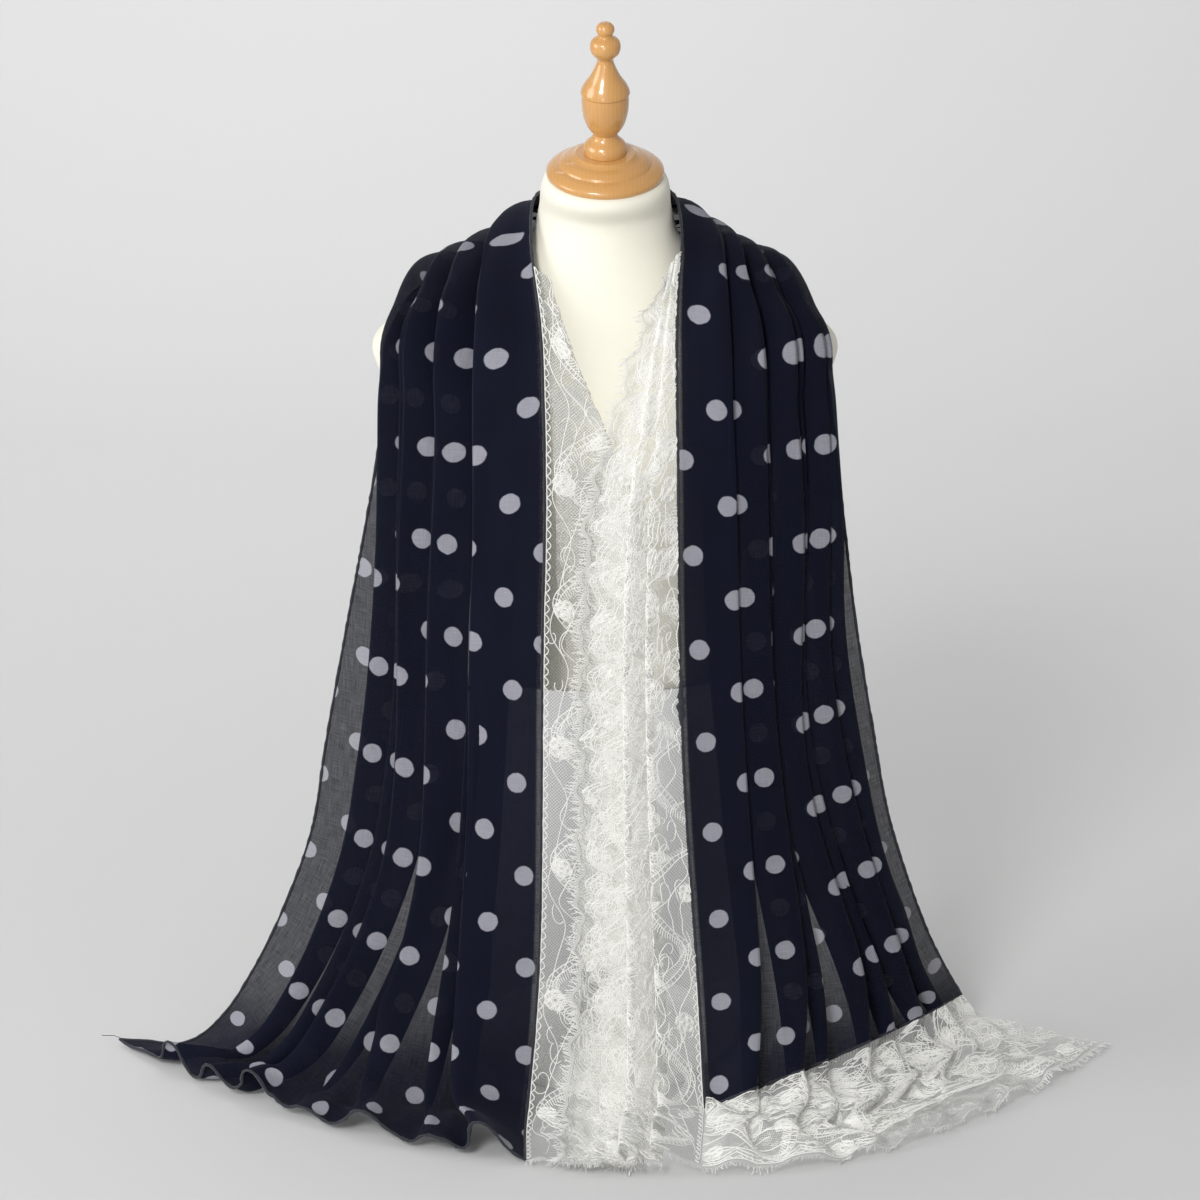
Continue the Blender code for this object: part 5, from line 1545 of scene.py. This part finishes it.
# Where the print has slid on the cloth: place along the scarf from the middle of the back, right below
# zero, and how far the dots lie from the hem and along it from an even lattice.
Slide = namedtuple("Slide", "along across_by along_by")
PRINT_SLIDES = table(
    Slide,
    (-1.000, 0.030, -0.004), (-0.800, 0.030, 0.004), (-0.300, 0.030, 0.000), (0.300, -0.010, 0.000),
    (0.458, -0.016, 0.000), (0.550, -0.003, 0.000), (0.640, 0.003, -0.002), (0.717, 0.011, -0.005),
    (0.806, 0.015, -0.009), (1.000, 0.015, -0.010),
)
MEAN_SLANT = 0.80
LEAST_SLANT = 0.62
EVENING_ROUNDS = 700


def least_stretch(points, start, across_steps, down_steps):
    """Values on the grid whose steps across and down come closest to those wanted."""
    wide = np.linalg.norm(np.diff(points, axis=1), axis=-1) + 1e-6
    long = np.linalg.norm(np.diff(points, axis=0), axis=-1) + 1e-6
    across_weight, down_weight = long.mean() / wide, wide.mean() / long

    def gathered(across, down):
        total = np.zeros(points.shape[:2])
        total[:, 1:] += across_weight * across
        total[:, :-1] -= across_weight * across
        total[1:] += down_weight * down
        total[:-1] -= down_weight * down
        return total

    values = start.copy()
    rest = gathered(across_steps - np.diff(values, axis=1), down_steps - np.diff(values, axis=0))
    way, size = rest.copy(), (rest**2).sum()
    for _ in range(EVENING_ROUNDS):
        pulled = gathered(np.diff(way, axis=1), np.diff(way, axis=0))
        share = size / (way * pulled).sum()
        values, rest = values + share * way, rest - share * pulled
        size, former = (rest**2).sum(), size
        way = rest + size / former * way
    return values


def print_places(points, places):
    """Where each grid point lies on the print, which runs square to the folds with round dots."""
    way = unit(np.gradient(points, axis=0))
    step = np.diff(points, axis=1)
    slip = (step * unit(way[:, 1:] + way[:, :-1])).sum(axis=-1)
    size = np.linalg.norm(step, axis=-1)
    slant = np.abs(step[..., 0]) / (MEAN_SLANT * np.maximum(size, 1e-9))
    straight = np.sqrt(np.maximum(size**2 - slip**2, 0.0)) * np.clip(slant, LEAST_SLANT, 1.0)
    long = np.linalg.norm(np.diff(points, axis=0), axis=-1)
    across = least_stretch(points, places[..., 0], straight, np.zeros_like(long))
    down = least_stretch(points, places[..., 1], slip, long)
    middle = len(points) // 2
    return np.stack([across - across[middle, 0], down - down[middle, 0]], axis=-1)


def slid_print(points, places):
    """The print's places, with the slides that the photo shows."""
    columns = [(row.across_by, row.along_by) for row in PRINT_SLIDES]
    slide = smooth_values([row.along for row in PRINT_SLIDES], columns, places[..., 1].ravel())
    return print_places(points, places) + slide.reshape(places.shape)


# ---- operators ----
def length_property(name, description, default, low, high):
    return bpy.props.FloatProperty(name=name, description=description, default=default, min=low, max=high,
                                   unit="LENGTH", subtype="DISTANCE", precision=4)


class ScarfSettings(bpy.types.PropertyGroup):
    dot_diameter: length_property("Dot diameter", "Width of one printed dot", 0.017, 0.002, 0.04)
    dot_pitch: length_property("Dot pitch", "Distance from one dot to the next one below it", 0.080, 0.02, 0.2)
    dot_spacing: length_property("Dot spacing", "Distance from one dot to the next one beside it",
                                 0.066, 0.02, 0.2)
    chiffon_cover: bpy.props.FloatProperty(
        name="Chiffon cover", description="Share of the light that one layer of the voile holds back",
        default=0.87, min=0.3, max=1.0, subtype="FACTOR")
    net_cell: length_property("Net cell", "Width of one diamond in the lace's net", 0.0021, 0.0005, 0.006)
    lash_length: length_property("Lash length", "Length of the threads at the lace's edge", 0.008, 0.001, 0.02)
    lash_pitch: length_property("Lash pitch", "Distance between two of the edge's threads",
                                0.0018, 0.0008, 0.01)
    jersey_colour: bpy.props.FloatVectorProperty(
        name="Jersey colour", description="Colour of the form's cloth cover", default=(0.85, 0.82, 0.71),
        min=0.0, max=1.0, subtype="COLOR")
    wood_colour: bpy.props.FloatVectorProperty(
        name="Wood colour", description="Colour of the form's turned cap and finial",
        default=(0.62, 0.325, 0.100), min=0.0, max=1.0, subtype="COLOR")


class SCARF_OT_add_form(bpy.types.Operator):
    """Adds the limbless form with its turned wooden cap and finial"""
    bl_idname = "scarf.add_form"
    bl_label = "Add Dress Form"

    def execute(self, context):
        settings = context.scene.scarf
        settle_piece(torso_object("dress_form", jersey_look(settings)), ["form_torso"])
        wood = wood_look(settings)
        top = TORSO[-1]
        tilt = math.radians(top.tilt)
        foot = np.array([0.0, (top.front + top.back) / 2, top.height + SEAM_GAP])
        cap = turned_object("neck_cap", CAP, foot, top.tilt, wood)
        settle_piece(cap, ["form_cap"])
        above = CAP[0].height + SEAM_GAP
        foot = foot + above * np.array([0.0, -math.sin(tilt), math.cos(tilt)])
        settle_piece(turned_object("finial", FINIAL, foot, top.tilt, wood), ["form_finial"])
        return {"FINISHED"}


class SCARF_OT_add_stand(bpy.types.Operator):
    """Adds the pole and the round base that hold the form up"""
    bl_idname = "scarf.add_stand"
    bl_label = "Add Stand"

    def execute(self, context):
        foot = np.array([0.0, 0.0, BASE[0].height + SEAM_GAP])
        pole_foot = foot[2] + SOCKET[0].height + SEAM_GAP
        pole = (Turn(POLE_RADIUS, TORSO[0].height - SEAM_GAP, True), Turn(POLE_RADIUS, pole_foot, True))
        enamel = enamel_look()
        settle_piece(turned_object("stand_pole", pole, np.zeros(3), 0.0, enamel, sides=64),
                     ["form_pole"])
        settle_piece(turned_object("stand_socket", SOCKET, foot, 0.0, black_look(), sides=64),
                     ["form_socket"])
        settle_piece(turned_object("stand_base", BASE, np.zeros(3), 0.0, enamel), ["form_base"])
        return {"FINISHED"}


class SCARF_OT_add_chiffon(bpy.types.Operator):
    """Adds the sheer dotted cloth in one piece, with its rolled hems"""
    bl_idname = "scarf.add_chiffon"
    bl_label = "Add Chiffon"

    def execute(self, context):
        settings = context.scene.scarf
        points, places = whole_scarf()
        cloth = grid_object("chiffon_scarf", points, places, chiffon_look(settings),
                            printed=slid_print(points, places))
        settle_piece(cloth, ["chiffon_front_left", "chiffon_front_right", "chiffon_back"])
        hem = hem_look()
        edges = {"inner": points[:, 0], "outer": points[:, -1], "left_end": points[-1], "right_end": points[0]}
        for name, path in edges.items():
            path = on_floor(path.copy(), HEM_RADIUS)
            bulges = [HEM_CURL] if name == "inner" else []
            edge = rolled_edge("hem_" + name, path, HEM_RADIUS, hem, HEM_UNEVENNESS, bulges)
            settle_piece(edge)
        corner = points[-1, -1]
        loose = corner + even(7)[:, None] * np.array(LOOSE_THREAD) + np.array([0.0, 0.0, 0.0015])
        loose[:, 1] += 0.002 * np.sin(5 * even(7))
        settle_piece(rolled_edge("loose_thread", loose, LOOSE_RADIUS, hem))
        return {"FINISHED"}


class SCARF_OT_add_edgings(bpy.types.Operator):
    """Adds the lace down the inner edges and round the nape, with the right one's eyelash fringe"""
    bl_idname = "scarf.add_edgings"
    bl_label = "Add Lace Edgings"

    def execute(self, context):
        settings = context.scene.scarf
        for name, grid, side, from_edge, start, node_name in (
                ("lace_left", left_edging_grid(), -1, False, 0.060, "lace_edging_left"),
                ("lace_right", right_edging_grid(), 1, True, 0.010, "lace_edging_right")):
            pieces = lace_objects(name, grid, side, start, from_edge, settings)
            # The real threads pass light on, so these layers cast no shadow on what is behind them.
            for piece in pieces:
                piece.visible_shadow = False
            declare_lace(pieces, node_name)
            for piece in lash_objects("lashes_floor_" + name[5:], np.swapaxes(grid, 0, 1), -side, settings):
                settle_piece(piece)
        threads = lash_objects("lashes_right", grid, 1, settings)
        settle_piece(threads[0], ["lace_lashes_right"])
        settle_piece(threads[1])
        nape = nape_grid()
        down = run_along(np.swapaxes(nape, 0, 1)).T
        lace = grid_object("lace_nape", nape, np.stack([run_along(nape), down], axis=-1), clothwork_look())
        settle_piece(lace, ["lace_edging_nape"])
        return {"FINISHED"}


def declare_lace(pieces, node_name):
    """Declares a lace ground, with what is worked on it."""
    ground, *rest = pieces
    settle_piece(ground, [node_name])
    for piece in rest:
        settle_piece(piece)


class SCARF_OT_add_ruffle(bpy.types.Operator):
    """Adds the gathered lace at the right end, with its eyelash fringe"""
    bl_idname = "scarf.add_ruffle"
    bl_label = "Add End Ruffle"

    def execute(self, context):
        settings = context.scene.scarf
        grid = np.swapaxes(ruffle_grid(), 0, 1)
        pieces = lace_objects("lace_ruffle", grid, 1, 0.120, True, settings, mirrored=True)
        for piece in pieces[1:]:
            piece.visible_shadow = False
        declare_lace(pieces, "lace_end_ruffle")
        threads = lash_objects("lashes_ruffle", grid, 1, settings)
        settle_piece(threads[0], ["lace_lashes_ruffle"])
        settle_piece(threads[1])
        return {"FINISHED"}


class SCARF_OT_add_studio(bpy.types.Operator):
    """Adds the pale seamless sweep, the lights and the camera"""
    bl_idname = "scarf.add_studio"
    bl_label = "Add Studio"

    def execute(self, context):
        floor = even(9) * 8.0 - 6.0
        bend = np.linspace(0.0, math.pi / 2, 24)[1:]
        y = np.concatenate([floor, 2.0 + 2.0 * np.sin(bend), [4.0]])
        z = np.concatenate([np.zeros(9), 2.0 - 2.0 * np.cos(bend), [8.0]])
        x = np.linspace(-8.0, 8.0, 9)
        points = np.stack([np.repeat(x[None], len(y), axis=0), np.repeat(y[:, None], 9, axis=1),
                           np.repeat(z[:, None], 9, axis=1)], axis=-1)
        grid_object("sweep", points, points[..., :2], sweep_look())
        add_light("key", (-1.30, -3.5, 2.7), (0.0, 0.0, 0.5), 1.3, 96.0)
        add_light("fill", (-0.6, -3.6, 0.7), (0.0, 0.0, 0.3), 1.2, 15.0)
        add_light("side", (-3.2, -0.9, 1.7), (0.0, 0.0, 0.5), 2.0, 44.0)
        add_light("backdrop", (-0.5, 1.8, 3.2), (0.0, 4.0, 1.5), 2.6, 52.0)
        world = bpy.data.worlds.new("studio")
        world.use_nodes = True
        world.node_tree.nodes["Background"].inputs["Color"].default_value = (1.0, 1.0, 1.0, 1.0)
        world.node_tree.nodes["Background"].inputs["Strength"].default_value = 0.46
        context.scene.world = world
        add_camera(context)
        return {"FINISHED"}


def aim(obj, target):
    """Turns the object so that its -Z axis points at the target."""
    way = np.array(target) - np.array(obj.location)
    flat = math.hypot(way[0], way[1])
    obj.rotation_euler = (math.atan2(flat, -way[2]), 0.0, math.atan2(-way[0], way[1]))


def add_light(name, location, target, size, power):
    data = bpy.data.lights.new(name, "AREA")
    data.shape = "DISK"
    data.size = size
    data.energy = power
    light = link(name, data)
    light.location = location
    aim(light, target)


def add_camera(context):
    data = bpy.data.cameras.new("camera")
    data.lens = 122.7
    data.sensor_width = 36.0
    camera = link("camera", data)
    camera.location = (-0.0044, -3.424, 1.530)
    aim(camera, (-0.0044, 0.0, 0.418))
    context.scene.camera = camera
    # Enough for sight lines that pass through many layers of net.
    context.scene.cycles.transparent_max_bounces = 28
    context.scene.cycles.diffuse_bounces = 3
    context.scene.view_settings.view_transform = "Standard"


class SCARF_PT_panel(bpy.types.Panel):
    bl_label = "Lace-Edged Scarf"
    bl_idname = "SCARF_PT_panel"
    bl_space_type = "VIEW_3D"
    bl_region_type = "UI"
    bl_category = "Scarf"

    def draw(self, context):
        for name in ScarfSettings.__annotations__:
            self.layout.prop(context.scene.scarf, name)
        for operator in OPERATORS:
            self.layout.operator(operator.bl_idname)


OPERATORS = (
    SCARF_OT_add_form,
    SCARF_OT_add_stand,
    SCARF_OT_add_chiffon,
    SCARF_OT_add_edgings,
    SCARF_OT_add_ruffle,
    SCARF_OT_add_studio,
)
CLASSES = (ScarfSettings, *OPERATORS, SCARF_PT_panel)


def register():
    for item in CLASSES:
        bpy.utils.register_class(item)
    bpy.types.Scene.scarf = bpy.props.PointerProperty(type=ScarfSettings)


def unregister():
    del bpy.types.Scene.scarf
    for item in reversed(CLASSES):
        bpy.utils.unregister_class(item)


def main():
    register()
    bpy.ops.scarf.add_form()
    bpy.ops.scarf.add_stand()
    bpy.ops.scarf.add_chiffon()
    bpy.ops.scarf.add_edgings()
    bpy.ops.scarf.add_ruffle()
    bpy.ops.scarf.add_studio()


if __name__ == "__main__":
    main()
